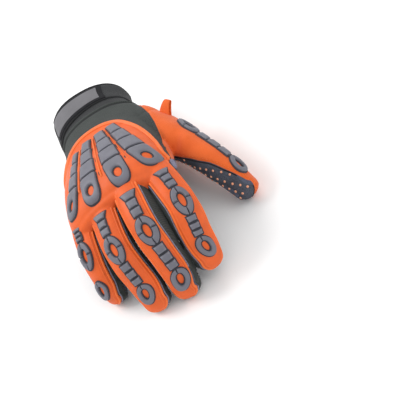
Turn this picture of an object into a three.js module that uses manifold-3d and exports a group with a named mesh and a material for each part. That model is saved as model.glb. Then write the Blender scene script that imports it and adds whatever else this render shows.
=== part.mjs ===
// A right-hand safety glove, palm down, keeping its worn form on a table: the fingertips and the
// heel of the cuff touch the surface and the knuckles are the highest point.
// Millimetres. +Z is up, the fingers point along -Y, the thumb is on the +X side.
import * as THREE from "three";
import { mergeVertices } from "three/addons/utils/BufferGeometryUtils.js";
import Module from "manifold-3d";

const wasm = await Module();
wasm.setup();
const radians = THREE.MathUtils.degToRad;
const vec = (p) => new THREE.Vector3(...p);

// Driving dimensions
const WALL = 1.8; // stretch fabric or synthetic leather with its lining
const GAP = 0.3; // between two pieces that touch
const SQUARENESS = 2.35; // superellipse exponent of every section
const HAND_SIDES = 20;
const DIGIT_SIDES = 12;
const DOMING = 0.15; // of the end fans, as a share of the last two rings' distance
const HOLLOW_SIDES = { hand: 16, digit: 8 };
const HAND_SEAM = [6, 174]; // degrees round the hand between which its back pieces lie
const DIGIT_SEAMS = {
  index: [22, 157], middle: [40, 157], ring: [24, 157], little: [22, 157], thumb: [-40, 192],
};
const WEDGE_RISE = 4; // the seams of the hand meet this far above its section centres
const CUFF_FROM = 8; // the cuff begins here, under the strap's edge
const RUBBER = { seat: 0.5, web: 1.4, pad: 2.9 }; // heights of its underside, its grooves and its pads
const REST = 0.6; // what rests on the floor is pressed flat up to here
const STRAP = { from: 20, to: 44, slant: 0.16, thick: 2.2 };
const LABEL = { from: 72, to: 144, thick: 1 }; // degrees round the strap
const TAB = { width: 11, tip: 0.55, reach: 12.5, thick: 2.2, at: [54.2, -17.8, 39.6], turn: 40, rise: 38 };

// Hand sections from the cuff's rim to the finger roots: place along the hand, centre, half width,
// height above and below the centre, rise of the hollow under the palm, roll to the little finger
const HAND = [
  { y: 46, x: -4.5, z: 28.2, half: 34.8, up: 27.5, down: 28.2, hollow: 0, roll: -2 },
  { y: 30, x: -4.2, z: 28, half: 34, up: 27.5, down: 27.7, hollow: 0, roll: -3 },
  { y: 10, x: -0.6, z: 28, half: 36.8, up: 28.8, down: 27.2, hollow: 0, roll: -4 },
  { y: -14, x: 1.3, z: 28, half: 40.5, up: 32.5, down: 27.2, hollow: 0, roll: -6 },
  { y: -42, x: 1.2, z: 32, half: 45, up: 36, down: 24, hollow: 4, roll: -9 },
  { y: -70, x: 0.6, z: 37, half: 47, up: 37.3, down: 17, hollow: 9, roll: -11 },
  { y: -90, x: 0.5, z: 41, half: 47, up: 34.3, down: 12, hollow: 11, roll: -12 },
  { y: -100, x: 0, z: 42, half: 45.5, up: 30.3, down: 9, hollow: 10, roll: -13 },
  { y: -106, x: 0, z: 42, half: 43, up: 25, down: 6, hollow: 8, roll: -13 },
];

// Centre line of each digit from inside the hand to its tip, with half width and half thickness
// at each point, and how far its back is rolled towards the thumb side
const DIGITS = {
  index: {
    line: [[26, -66, 54], [33, -96, 58], [39.5, -129, 49], [38.2, -149.5, 26.7], [37.8, -158, 12.2]],
    half: [8, 11, 11.4, 11.2, 10.2], thick: [8, 10.6, 10.4, 9.8, 8.8], roll: 14,
  },
  middle: {
    line: [[8, -66, 57], [9.5, -98, 62], [11.5, -137, 49.5], [15.5, -157.5, 22.2], [16.5, -164, 7.6]],
    half: [8, 11.4, 12, 11.6, 10.4], thick: [8, 10.6, 10.6, 10, 8.8], roll: -2,
  },
  ring: {
    line: [[-13, -64, 53], [-13.5, -95, 55.5], [-14.5, -132, 43], [-10.2, -153.2, 19.2], [-9, -160.5, 7.6]],
    half: [8, 11, 11.6, 11.4, 10.2], thick: [8, 10.4, 10.4, 9.8, 8.8], roll: -15,
  },
  little: {
    line: [[-30, -60, 45], [-33.5, -88, 47], [-37, -115.5, 36], [-38, -132, 17.6], [-38.4, -138, 6.8]],
    half: [7, 10.2, 10.6, 10, 9], thick: [7, 9.6, 9.4, 9, 7.8], roll: -25,
  },
  thumb: {
    line: [[20, 2, 29], [43, -24, 30], [62, -58, 30], [76.6, -85.5, 24], [85.2, -103, 14]],
    half: [20, 21, 15, 12.6, 9.8], thick: [16, 17, 13, 11.4, 8.8], roll: 62,
  },
};

// Moulded chain along the back of a digit: its width, the place where it starts and the places of
// its rings (2 is the middle joint, 3 the end joint)
const CHAINS = {
  index: { width: 6, start: 1.24, rings: [1.97, 3.12] },
  middle: { width: 6.6, start: 1.3, rings: [2, 3.14] },
  ring: { width: 6.2, start: 1.33, rings: [2, 3.12] },
  little: { width: 5.4, start: 1.36, rings: [2, 3.1] },
  thumb: { width: 5.6, start: 1.3, rings: [1.52, 3.35] },
};
const RING_LENGTHS = [9, 7.6]; // half lengths of a chain's two rings
const CHAIN_PADS = 3; // before each ring
const GROOVE = 1.1; // between two pads

// Knuckle columns on the back of the hand: from the wrist end to the centre of the knuckle ring,
// with a half width at each point
const COLUMNS = {
  index: {
    line: [[13, -26], [17, -40], [21.6, -56], [28, -76], [33.5, -89]],
    half: [4, 5.4, 6.8, 8.4, 8.6],
  },
  middle: {
    line: [[2.6, -28], [4.6, -43], [6.4, -60], [8.4, -82], [10, -95]],
    half: [4.2, 5.6, 7.2, 8.8, 9],
  },
  ring: {
    line: [[-9, -29], [-10.6, -43], [-11.6, -60], [-13.6, -80], [-14.8, -94]],
    half: [4, 5.2, 6.6, 8.2, 8.4],
  },
  little: {
    line: [[-20.2, -33], [-23.2, -47], [-25.6, -61], [-29.6, -77], [-34.4, -89.5]],
    half: [2.6, 3.4, 4.3, 5.6, 6.4],
  },
};

// Outline of the moulded panel on the back of the hand, seen from above
const DOME = [
  [-58, -48], [-44, -36], [-33, -24], [-20, -16], [-5, -14], [10, -16.5], [22, -22.5],
  [32, -35], [39, -50], [43.5, -66], [46.5, -84], [60, -100], [60, -190], [-70, -190], [-70, -60],
];

const centreOf = (ring) =>
  ring.reduce((sum, p) => sum.add(p), new THREE.Vector3()).divideScalar(ring.length);

// A closed solid through rings of points that all have the same count, with a slightly domed fan at
// each end.
function solidThrough(rings) {
  const sides = rings[0].length;
  const points = rings.flat();
  const ends = [[rings[0], rings[1]], [rings.at(-1), rings.at(-2)]];
  const hubs = ends.map(([end, before]) => centreOf(end).lerp(centreOf(before), -DOMING));
  points.push(...hubs);
  const faces = [];
  for (let r = 0; r + 1 < rings.length; r++) {
    for (let k = 0; k < sides; k++) {
      const a = r * sides + k;
      const b = r * sides + ((k + 1) % sides);
      faces.push(a, b, a + sides, b, b + sides, a + sides);
    }
  }
  const last = (rings.length - 1) * sides;
  for (let k = 0; k < sides; k++) {
    const next = (k + 1) % sides;
    faces.push(points.length - 2, next, k, points.length - 1, last + k, last + next);
  }
  const geometry = new THREE.BufferGeometry().setFromPoints(points).setIndex(faces);
  return manifoldOf(geometry);
}

// A three.js geometry as a manifold-3d solid, turned to face outwards.
function manifoldOf(geometry) {
  const bare = geometry.clone();
  bare.deleteAttribute("normal");
  bare.deleteAttribute("uv");
  const merged = mergeVertices(bare, 1e-4);
  const triVerts = new Uint32Array(merged.index.array);
  const p = merged.attributes.position.array;
  let volume = 0;
  for (let i = 0; i < triVerts.length; i += 3) {
    const [a, b, c] = [0, 1, 2].map((k) => new THREE.Vector3().fromArray(p, 3 * triVerts[i + k]));
    volume += a.dot(b.cross(c));
  }
  if (volume < 0) triVerts.reverse();
  return new wasm.Manifold(new wasm.Mesh({ numProp: 3, vertProperties: p, triVerts }));
}

// The point of a rounded section at an angle in degrees, across the piece and towards its back.
function roundPoint(angle, half, up, down, hollow = 0) {
  const c = Math.cos(radians(angle));
  const s = Math.sin(radians(angle));
  const across = half * Math.sign(c) * Math.abs(c) ** (2 / SQUARENESS);
  const height = Math.sign(s) * Math.abs(s) ** (2 / SQUARENESS);
  const lift = s < 0 ? hollow * (1 - (across / half) ** 2) * Math.abs(s) : 0;
  return [across, height * (s > 0 ? up : down) + lift];
}

// Height of the rounded back over a place across the section.
function backHeight(across, half, up) {
  const share = Math.min(Math.abs(across) / half, 0.995);
  return up * (1 - share ** SQUARENESS) ** (1 / SQUARENESS);
}

// Reads a table of rows smoothly: between rows each named column follows a cubic curve.
function smoothTable(rows, keys, places) {
  const values = rows.flatMap((row) => keys.map((key) => row[key]));
  const spline = new THREE.CubicInterpolant(places, values, keys.length, new Float64Array(keys.length));
  return (place) => {
    const result = spline.evaluate(THREE.MathUtils.clamp(place, places[0], places.at(-1)));
    return Object.fromEntries(keys.map((key, k) => [key, result[k]]));
  };
}

const HAND_KEYS = ["x", "z", "half", "up", "down", "hollow", "roll"];
const handTable = smoothTable(HAND, HAND_KEYS, HAND.map((row) => -row.y));
const handAt = (y) => ({ y, ...handTable(-y) });

// A place in a hand section's own axes as a point of the part.
function handPlace(section, across, height) {
  const roll = radians(section.roll);
  return new THREE.Vector3(
    section.x + across * Math.cos(roll) + height * Math.sin(roll),
    section.y,
    section.z - across * Math.sin(roll) + height * Math.cos(roll),
  );
}

function handRing(section, inset, angles) {
  return angles.map((angle) =>
    handPlace(
      section,
      ...roundPoint(angle, section.half - inset, section.up - inset, section.down - inset, section.hollow),
    ),
  );
}

const allRound = (sides) => Array.from({ length: sides }, (_, k) => (360 * k) / sides);
const spread = (from, to, steps) =>
  Array.from({ length: steps + 1 }, (_, k) => from + ((to - from) * k) / steps);
const HAND_STATIONS = [46, 30, 14, -2, -16, -30, -44, -58, -72, -84, -94, -103];
const HOLLOW_STATIONS = [46, 14, -16, -44, -72, -92, -103];
const HAND_END = [{ past: 3, drawn: 2.2, arch: 0.8 }, { past: 5.2, drawn: 7, arch: 0.1 }];

// The hand as one rounded solid; an inset of the wall's thickness gives its hollow.
function handSolid(inset) {
  const angles = allRound(inset > 0 ? HOLLOW_SIDES.hand : HAND_SIDES);
  const stations = inset > 0 ? HOLLOW_STATIONS : HAND_STATIONS;
  const rings = stations.map((y) => handRing(handAt(y), inset, angles));
  if (inset > 0) rings.unshift(rings[0].map((p) => p.clone().add(vec([0, 10, 0]))));
  const last = handAt(HAND_STATIONS.at(-1));
  for (const { past, drawn, arch } of HAND_END) {
    const section = { ...last, y: last.y - past + inset, hollow: last.hollow * arch };
    rings.push(handRing(section, inset + drawn, angles));
  }
  return solidThrough(rings);
}

// A digit's frame at a place from 0, its root, to 4, its tip: centre, side, back and half sizes.
function digitReader(digit) {
  const rows = digit.line.map(([x, y, z], k) => ({ x, y, z, half: digit.half[k], thick: digit.thick[k] }));
  const read = smoothTable(rows, ["x", "y", "z", "half", "thick"], [0, 1, 2, 3, 4]);
  const up = new THREE.Vector3(Math.sin(radians(digit.roll)), 0, Math.cos(radians(digit.roll)));
  return (place) => {
    const row = read(place);
    const centre = new THREE.Vector3(row.x, row.y, row.z);
    const [before, after] = [read(Math.max(place - 0.05, 0)), read(Math.min(place + 0.05, 4))];
    const along = new THREE.Vector3(after.x - before.x, after.y - before.y, after.z - before.z).normalize();
    const side = new THREE.Vector3().crossVectors(up, along).normalize();
    const back = new THREE.Vector3().crossVectors(along, side).normalize();
    return { centre, along, side, back, half: row.half, thick: row.thick };
  };
}

const inFrame = (frame, across, height, forward = 0) =>
  frame.centre.clone()
    .addScaledVector(frame.side, across)
    .addScaledVector(frame.back, height)
    .addScaledVector(frame.along, forward);

const DIGIT_PLACES = [0, 0.7, 1.4, 1.9, 2.4, 2.9, 3.4, 4];
const WEDGE_PLACES = [0.05, 0.4, 1.1, 1.65, 2.15, 2.65, 3.15, 3.7, 3.88];
const TIP_ROUND = [{ past: 0.5, drawn: 0.12 }, { past: 0.95, drawn: 0.6 }];

// A digit as one rounded solid from its root to its closed tip.
function digitSolid(digit, inset) {
  const read = digitReader(digit);
  const ring = (frame, keep, forward) =>
    allRound(inset > 0 ? HOLLOW_SIDES.digit : DIGIT_SIDES).map((angle) => {
      const thick = frame.thick - inset;
      const [across, height] = roundPoint(angle, frame.half - inset, thick, thick);
      return inFrame(frame, across * keep, height * keep, forward);
    });
  const rings = DIGIT_PLACES.map((place) => ring(read(place), 1, 0));
  const tip = read(4);
  const reach = tip.thick * 0.75 - inset;
  for (const { past, drawn } of TIP_ROUND) rings.push(ring(tip, 1 - drawn, reach * past));
  return solidThrough(rings);
}

// A wedge that follows a digit and holds what lies between two angles round it, drawn in by an inset.
function digitWedge(digit, [from, to], inset) {
  const read = digitReader(digit);
  const middle = radians((from + to) / 2);
  const shift = [Math.cos(middle) * inset, Math.sin(middle) * inset];
  const reach = 34;
  const rings = WEDGE_PLACES.map((place, k) => {
    const frame = read(place);
    const forward = k === WEDGE_PLACES.length - 1 ? reach : 0;
    const rim = spread(from, to, 3).map((angle) => [
      reach * Math.cos(radians(angle)) + shift[0],
      reach * Math.sin(radians(angle)) + shift[1],
    ]);
    return [shift, ...rim].map(([across, height]) => inFrame(frame, across, height, forward));
  });
  return solidThrough(rings);
}

const RIM_END = 70;
const FAR_END = -125;
const HOLE_SIDES = 8;

// What lies on the back side of the hand, above a ridge that runs through its section centres.
function handBackWedge(shift) {
  const reach = 90;
  const rings = [RIM_END, ...HAND_STATIONS, FAR_END].map((y) => {
    const section = { ...handAt(y), y };
    const rim = spread(...HAND_SEAM, 6).map((angle) => [
      reach * Math.cos(radians(angle)),
      reach * Math.sin(radians(angle)) + shift,
    ]);
    return [[0, WEDGE_RISE + shift], ...rim].map(([across, height]) => handPlace(section, across, height));
  });
  return solidThrough(rings);
}

// A tall prism over an outline drawn from above, drawn in by a margin.
function prism(outline, margin = 0) {
  const shape = new THREE.Shape(outline.map(([x, y]) => new THREE.Vector2(x, y)));
  const solid = manifoldOf(new THREE.ExtrudeGeometry(shape, { depth: 160, bevelEnabled: false }));
  if (margin === 0) return solid.translate([0, 0, -20]);
  const sides = [[margin, 0], [-margin, 0], [0, margin], [0, -margin]];
  return sides.map(([x, y]) => solid.translate([x, y, -20])).reduce((sum, next) => sum.add(next));
}

const slab = (from, to) =>
  prism([[-150, from], [150, from], [150, to], [-150, to]]);

// A surface reader for the back of a digit: a point at a distance across, a place
// along and a height over the surface.
function digitSurface(digit) {
  const read = digitReader(digit);
  return (across, place, height) => {
    const frame = read(place);
    const rise = backHeight(across, frame.half, frame.thick);
    const step = 0.2;
    const slope = (backHeight(Math.abs(across) + step, frame.half, frame.thick) - rise) / step;
    const lean = Math.atan(slope) * Math.sign(across);
    return inFrame(frame, across - Math.sin(lean) * height, rise + Math.cos(lean) * height);
  };
}

// The same for the back of the hand, where a place is a point seen from above.
function handSurface(x, y, height) {
  const section = handAt(y);
  let across = x - section.x;
  for (let k = 0; k < 8; k++) {
    across += x - handPlace(section, across, backHeight(across, section.half, section.up)).x;
  }
  const rise = backHeight(across, section.half, section.up);
  const step = 0.2;
  const slope = (backHeight(Math.abs(across) + step, section.half, section.up) - rise) / step;
  const lean = Math.atan(slope) * Math.sign(across);
  return handPlace(section, across - Math.sin(lean) * height, rise + Math.cos(lean) * height);
}

// Raised rubber on a surface. Each row gives a place along it, a half width and a top height.
function relief(surface, rows, steps = 2) {
  return solidThrough(
    rows.map(({ at, half, top }) => {
      const across = spread(-half, half, steps);
      const over = across.map((u) => surface(u, at, top));
      const under = across.map((u) => surface(u, at, RUBBER.seat)).reverse();
      return [...over, ...under];
    }),
  );
}

// Rows of a pad between two places, with a low link on its far side where one is given.
function padRows(from, to, start, end, link) {
  const rows = [{ at: from, half: start, top: RUBBER.pad }, { at: to, half: end, top: RUBBER.pad }];
  if (link === undefined) return rows;
  const step = (to - from) * 0.02;
  const half = end - 0.9;
  return [...rows, { at: to + step, half, top: RUBBER.web }, { at: link - step, half, top: RUBBER.web }];
}

// Rows of an oval ring round a place; its ends are never narrower than the link or the tail.
function ringRows(centre, reach, half, link, tail) {
  return spread(-1, 1, 5).map((share) => {
    const bent = Math.sin((share * Math.PI) / 2);
    const oval = half * Math.sqrt(1 - bent * bent);
    return { at: centre + reach * bent, half: Math.max(oval, share < 0 ? link : tail), top: RUBBER.pad };
  });
}

// An oval shaft square to a digit's back at one place, for the hole of a ring.
function shaft(oval) {
  return solidThrough([oval(-7), oval(9)]);
}

// A moulded chain of pads and joint rings along a digit's back, with its oval holes cut through.
function digitGuard(digit, { width, start, rings }) {
  const read = digitReader(digit);
  const pace = (at) => read(at + 0.1).centre.distanceTo(read(at - 0.1).centre) / 0.2;
  const rows = [];
  let from = start;
  rings.forEach((at, k) => {
    const reach = RING_LENGTHS[k] / pace(at);
    const end = at - reach;
    const groove = GROOVE / pace((from + end) / 2);
    const length = (end - from - groove * CHAIN_PADS) / CHAIN_PADS;
    for (let n = 0; n < CHAIN_PADS; n++) {
      const begin = from + n * (length + groove);
      const flare = k === 0 && n === 0 ? 0.86 : 0.52;
      rows.push(...padRows(begin, begin + length, flare * width, 0.52 * width, begin + length + groove));
    }
    const tail = k + 1 < rings.length ? 0.42 * width : 0.26 * width;
    rows.push(...ringRows(at, reach, width * (k === 0 ? 1 : 0.9), 0.42 * width, tail));
    from = at + reach + groove;
  });
  const whole = relief(digitSurface(digit), rows);
  return rings.reduce((rest, at, k) => {
    const frame = read(at);
    const oval = (height) =>
      allRound(HOLE_SIDES).map((angle) =>
        inFrame(
          frame,
          width * 0.48 * Math.cos(radians(angle)),
          frame.thick + height,
          RING_LENGTHS[k] * 0.56 * Math.sin(radians(angle)),
        ),
      );
    return rest.subtract(shaft(oval));
  }, whole);
}

// A column of pads up to a knuckle ring on the back of the hand.
function knuckleColumn({ line, half }) {
  const path = new THREE.CatmullRomCurve3(line.map(([x, y]) => new THREE.Vector3(x, y, 0)));
  const surface = (u, share, height) => {
    const at = THREE.MathUtils.clamp(share, 0, 1);
    const tangent = path.getTangent(at);
    const p = path.getPoint(at).addScaledVector(tangent, (share - at) * path.getLength());
    return handSurface(p.x + tangent.y * u, p.y - tangent.x * u, height);
  };
  const gap = GROOVE / path.getLength();
  const rows = [0, 1, 2].flatMap((k) =>
    padRows(k / 4, (k + 1) / 4 - gap, half[k], half[k + 1] - 0.6, k < 2 ? (k + 1) / 4 : undefined),
  );
  rows.push(
    { at: 0.8, half: half[4] * 0.9, top: RUBBER.pad }, { at: 0.9, half: half[4], top: RUBBER.pad },
    { at: 1.03, half: half[4] * 0.97, top: RUBBER.pad }, { at: 1.1, half: half[4] * 0.72, top: RUBBER.pad },
    { at: 1.145, half: half[4] * 0.3, top: RUBBER.pad },
  );
  const oval = (height) =>
    allRound(HOLE_SIDES).map((angle) =>
      surface(half[4] * 0.46 * Math.cos(radians(angle)), 0.985 + 0.075 * Math.sin(radians(angle)), height),
    );
  return relief(surface, rows, 3).subtract(shaft(oval));
}

// A band round the wrist between two edges of the strap's width, given in shares, and two heights.
function wristBand(angles, [near, far], [low, high]) {
  return solidThrough(
    angles.map((angle) => {
      const lie = handRing(handAt(STRAP.from), 0, [angle])[0];
      const from = STRAP.from + STRAP.slant * lie.x;
      const corner = (share, height) => {
        const section = handAt(THREE.MathUtils.lerp(from, STRAP.to, share));
        return handRing(section, -height, [angle])[0];
      };
      return [corner(near, low), corner(far, low), corner(far, high), corner(near, high)];
    }),
  );
}

// A folded loop that stands off the hand on the thumb side.
function pullTab({ width, tip, reach, thick, at, turn, rise }) {
  const bow = (share) => Math.sin(share * Math.PI) * 2.2;
  const rows = spread(0, 1, 6).map((share) => [share * reach, bow(share)]);
  const solid = solidThrough(
    rows.map(([out, lift], k) => {
      const half = (width / 2) * THREE.MathUtils.lerp(1, tip, (k / (rows.length - 1)) ** 1.6);
      const over = lift + thick;
      return [[out, -half, lift], [out, half, lift], [out, half, over], [out, -half, over]].map(vec);
    }),
  );
  return solid.rotate([0, -rise, 0]).rotate([0, 0, turn]).translate(at);
}

const group = new THREE.Group();
const ground = prism([[-150, -250], [150, -250], [150, 150], [-150, 150]]).translate([0, 0, -140 + REST]);

// Adds a solid as a named mesh. It is cut flat where it rests, and of what a cut leaves only the
// largest body stays.
function piece(name, solid, material) {
  const parts = solid.subtract(ground).decompose().sort((a, b) => b.volume() - a.volume());
  const made = parts[0].getMesh();
  const geometry = new THREE.BufferGeometry()
    .setAttribute("position", new THREE.BufferAttribute(made.vertProperties, 3))
    .setIndex(new THREE.BufferAttribute(made.triVerts, 1));
  const mesh = new THREE.Mesh(geometry, material);
  mesh.name = name;
  group.add(mesh);
}

const finish = (color, roughness) => new THREE.MeshStandardMaterial({ color, roughness, metalness: 0 });
const MATERIALS = {
  stretch: finish(0xf26522, 0.85),
  leather: finish(0x6f7684, 0.8),
  knit: finish(0x55595c, 0.9),
  rubber: finish(0x8f929b, 0.55),
  strap: finish(0x4a4d50, 0.9),
  label: finish(0xa5a39e, 0.6),
  rubberBase: finish(0xf4642a, 0.6),
};

const hand = handSolid(0);
const handFull = handSolid(-GAP);
const handHollow = handSolid(WALL);
const outer = {};
const fuller = {};
const hollow = {};
for (const [name, digit] of Object.entries(DIGITS)) {
  outer[name] = digitSolid(digit, 0);
  fuller[name] = digitSolid(digit, -GAP);
  hollow[name] = digitSolid(digit, WALL);
}
const FINGERS = ["index", "middle", "ring", "little"];
const allHollows = Object.values(hollow).reduce((sum, next) => sum.add(next), handHollow);
const handShell = hand.subtract(allHollows);
const backWedge = handBackWedge(GAP / 2);
const frontWedge = handBackWedge(-GAP / 2);
const dome = prism(DOME);
const domeFull = prism(DOME, GAP);

piece("cuff", handShell.intersect(slab(CUFF_FROM, 60)).subtract(fuller.thumb), MATERIALS.knit);
const body = handShell.intersect(slab(-150, CUFF_FROM - GAP)).subtract(fuller.thumb);
piece("palm", body.subtract(frontWedge), MATERIALS.leather);
const top = body.intersect(backWedge);
piece("back_panel", top.intersect(dome), MATERIALS.rubberBase);
piece("yoke", top.subtract(domeFull), MATERIALS.knit);

// The back and the front piece of a digit, cut from its shell along its two seams.
function digitPieces(name, shell, backMaterial) {
  const digit = DIGITS[name];
  const seam = DIGIT_SEAMS[name];
  piece(`${name}_back`, shell.intersect(digitWedge(digit, seam, GAP * 0.6)), backMaterial);
  piece(`${name}_front`, shell.subtract(digitWedge(digit, seam, -GAP * 0.6)), MATERIALS.leather);
}

for (const name of FINGERS) {
  const neighbours = FINGERS.slice(0, FINGERS.indexOf(name)).map((other) => fuller[other]);
  const bare = outer[name].subtract(allHollows).subtract(handFull);
  const shell = neighbours.reduce((rest, other) => rest.subtract(other), bare);
  digitPieces(name, shell, MATERIALS.rubberBase);
}
digitPieces("thumb", outer.thumb.subtract(allHollows).subtract(handFull), MATERIALS.stretch);

for (const [name, digit] of Object.entries(DIGITS)) {
  piece(`${name}_guard`, digitGuard(digit, CHAINS[name]).subtract(handFull), MATERIALS.rubber);
}
for (const name of FINGERS) {
  piece(`${name}_knuckle`, knuckleColumn(COLUMNS[name]).subtract(fuller[name]), MATERIALS.rubber);
}

const under = GAP + 0.3;
const strapTop = under + STRAP.thick;
const step = 360 / HAND_SIDES;
const angles = spread(0, 180, 180 / step);
const labelled = spread(LABEL.from, LABEL.to, (LABEL.to - LABEL.from) / step);
const labelHeights = [strapTop + GAP, strapTop + GAP + LABEL.thick];
piece("wrist_strap", wristBand(angles, [0, 0.96], [under, strapTop]), MATERIALS.strap);
piece("strap_label", wristBand(labelled, [0.1, 0.88], labelHeights), MATERIALS.label);
piece("pull_tab", pullTab(TAB).subtract(fuller.thumb).subtract(handFull), MATERIALS.stretch);

// The origin is the middle of the footprint, on the surface that the glove lies on.
const bounds = new THREE.Box3().setFromObject(group);
const middle = bounds.getCenter(new THREE.Vector3());
group.position.set(-middle.x, -middle.y, -bounds.min.z);

export default group;
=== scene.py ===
"""Looks of a right-hand work glove that lies on its palm.

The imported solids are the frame: every piece made here stands where its solid stands. The glove's pattern is
drawn in millimetres, with the fingers towards -Y, the thumb towards +X and the back of the hand up, and is
moved to the frame and to metres as the last step of each mesh.
"""

from __future__ import annotations

import logging
from dataclasses import dataclass, field, replace
from enum import Enum
from typing import Callable, Iterable, Sequence

import bmesh
import bpy
import numpy as np
from mathutils import Matrix, Vector
from mathutils.bvhtree import BVHTree
from mathutils.kdtree import KDTree

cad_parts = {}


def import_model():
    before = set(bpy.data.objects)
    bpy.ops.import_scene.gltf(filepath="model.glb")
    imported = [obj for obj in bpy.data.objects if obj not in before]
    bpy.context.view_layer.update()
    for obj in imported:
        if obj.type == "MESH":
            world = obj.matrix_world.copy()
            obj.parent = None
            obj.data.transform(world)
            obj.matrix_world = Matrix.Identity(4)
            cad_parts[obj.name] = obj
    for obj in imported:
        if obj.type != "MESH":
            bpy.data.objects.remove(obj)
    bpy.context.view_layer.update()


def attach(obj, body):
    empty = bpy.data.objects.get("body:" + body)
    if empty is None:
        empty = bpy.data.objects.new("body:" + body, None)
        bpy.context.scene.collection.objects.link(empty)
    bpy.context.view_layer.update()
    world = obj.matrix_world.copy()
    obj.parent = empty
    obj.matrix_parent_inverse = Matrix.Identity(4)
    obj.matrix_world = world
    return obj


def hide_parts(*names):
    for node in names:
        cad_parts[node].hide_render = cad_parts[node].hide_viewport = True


LOG = logging.getLogger("glove")
Array = np.ndarray
Faces = Sequence[Sequence[int]]
Form = tuple[Array, Faces]
SurfaceMap = Callable[[Array, Array, Array], Array]

MM = 0.001
ORIGIN = np.array([22.2654, -63.5386, 0.6])
FLOOR = 0.6
SQUARENESS = 2.35
POWER = 2 / SQUARENESS
SLOPE_STEP = 0.2
TIP_SHARE = 0.75
EASED_ROWS = 40
SUNK = -0.5
BLOCK = 20000
SEED = 7
FAR = 1e9
TINY = 1e-9


class Slot(Enum):
    """The record's material slots."""

    RUBBER_BACK = "orange_rubber"
    STRETCH = "orange_stretch"
    GUARD = "grey_rubber"
    LEATHER = "leather"
    KNIT = "dark_knit"
    ELASTIC = "strap_elastic"
    LABEL = "label"


def cubic_through(places: Array, values: Array, at: Array) -> Array:
    """Reads a table along a smooth cubic that passes through each of its rows.

    Args:
        places: The rows' places, rising.
        values: The rows, one column for each quantity.
        at: Where to read.

    Returns:
        One row for each place read.
    """
    at = np.clip(at, places[0], places[-1])
    i = np.clip(np.searchsorted(places, at, side="right") - 1, 0, len(places) - 2)
    low, high = places[i], places[i + 1]
    before = np.where(i > 0, places[np.maximum(i - 1, 0)], high)
    after = np.where(i + 2 < len(places), places[np.minimum(i + 2, len(places) - 1)], low)
    row_before = values[np.where(i > 0, i - 1, i + 1)]
    row_after = values[np.where(i + 2 < len(places), i + 2, i)]
    half = 0.5 * (high - low)
    wp, wn = half / (low - before), half / (after - high)
    p = (at - low) / (high - low)
    shares = (
        -wp * p**3 + 2 * wp * p**2 - wp * p,
        (1 + wp) * p**3 + (-1.5 - 2 * wp) * p**2 + (-0.5 + wp) * p + 1,
        (-1 - wn) * p**3 + (1.5 + wn) * p**2 + 0.5 * p,
        wn * p**3 - wn * p**2,
    )
    rows = (row_before, values[i], values[i + 1], row_after)
    return sum(share[:, None] * row for share, row in zip(shares, rows))


def unit(vectors: Array) -> Array:
    """Returns the vectors at length one."""
    return vectors / np.maximum(np.linalg.norm(vectors, axis=-1, keepdims=True), TINY)


def run_of(line: Array) -> Array:
    """Returns the length of a line up to each of its points."""
    return np.concatenate([[0], np.cumsum(np.linalg.norm(np.diff(line, axis=0), axis=1))])


def eased(count: int) -> Array:
    """Returns places from -1 to 1 that crowd towards both ends."""
    return np.sin(np.linspace(-1, 1, count) * np.pi / 2)


def as_rows(*values: Array | float) -> tuple[tuple[int, ...], list[Array]]:
    """Returns the shape of some values together, and each of them as one row."""
    wide = np.broadcast_arrays(*(np.asarray(value, float) for value in values))
    return wide[0].shape, [value.ravel() for value in wide]


def rounded(angles: Array) -> tuple[Array, Array]:
    """Returns the shares across and up of a rounded section's outline at angles in degrees."""
    c, s = np.cos(np.radians(angles)), np.sin(np.radians(angles))
    return np.sign(c) * np.abs(c) ** POWER, np.sign(s) * np.abs(s) ** POWER


def back_height(across: Array, half: Array, rise: Array) -> Array:
    """Returns the height of a rounded section over a place across it."""
    share = np.minimum(np.abs(across) / half, 0.995)
    return rise * (1 - share**SQUARENESS) ** (1 / SQUARENESS)


def back_at(across: Array, half: Array, rise: Array) -> tuple[Array, Array]:
    """Returns a rounded section's height over a place across it, and how far it leans there."""
    height = back_height(across, half, rise)
    slope = (back_height(np.abs(across) + SLOPE_STEP, half, rise) - height) / SLOPE_STEP
    return height, np.arctan(slope) * np.sign(across)


def section_gap(across: Array, height: Array, wide: Array, tall: Array) -> Array:
    """Returns the rough distance of places from a rounded section's outline, positive outside."""
    ratio = (np.abs(across / wide) ** SQUARENESS + np.abs(height / tall) ** SQUARENESS) ** (1 / SQUARENESS)
    return (ratio - 1) * np.hypot(across, height) / np.maximum(ratio, 0.2)


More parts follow.
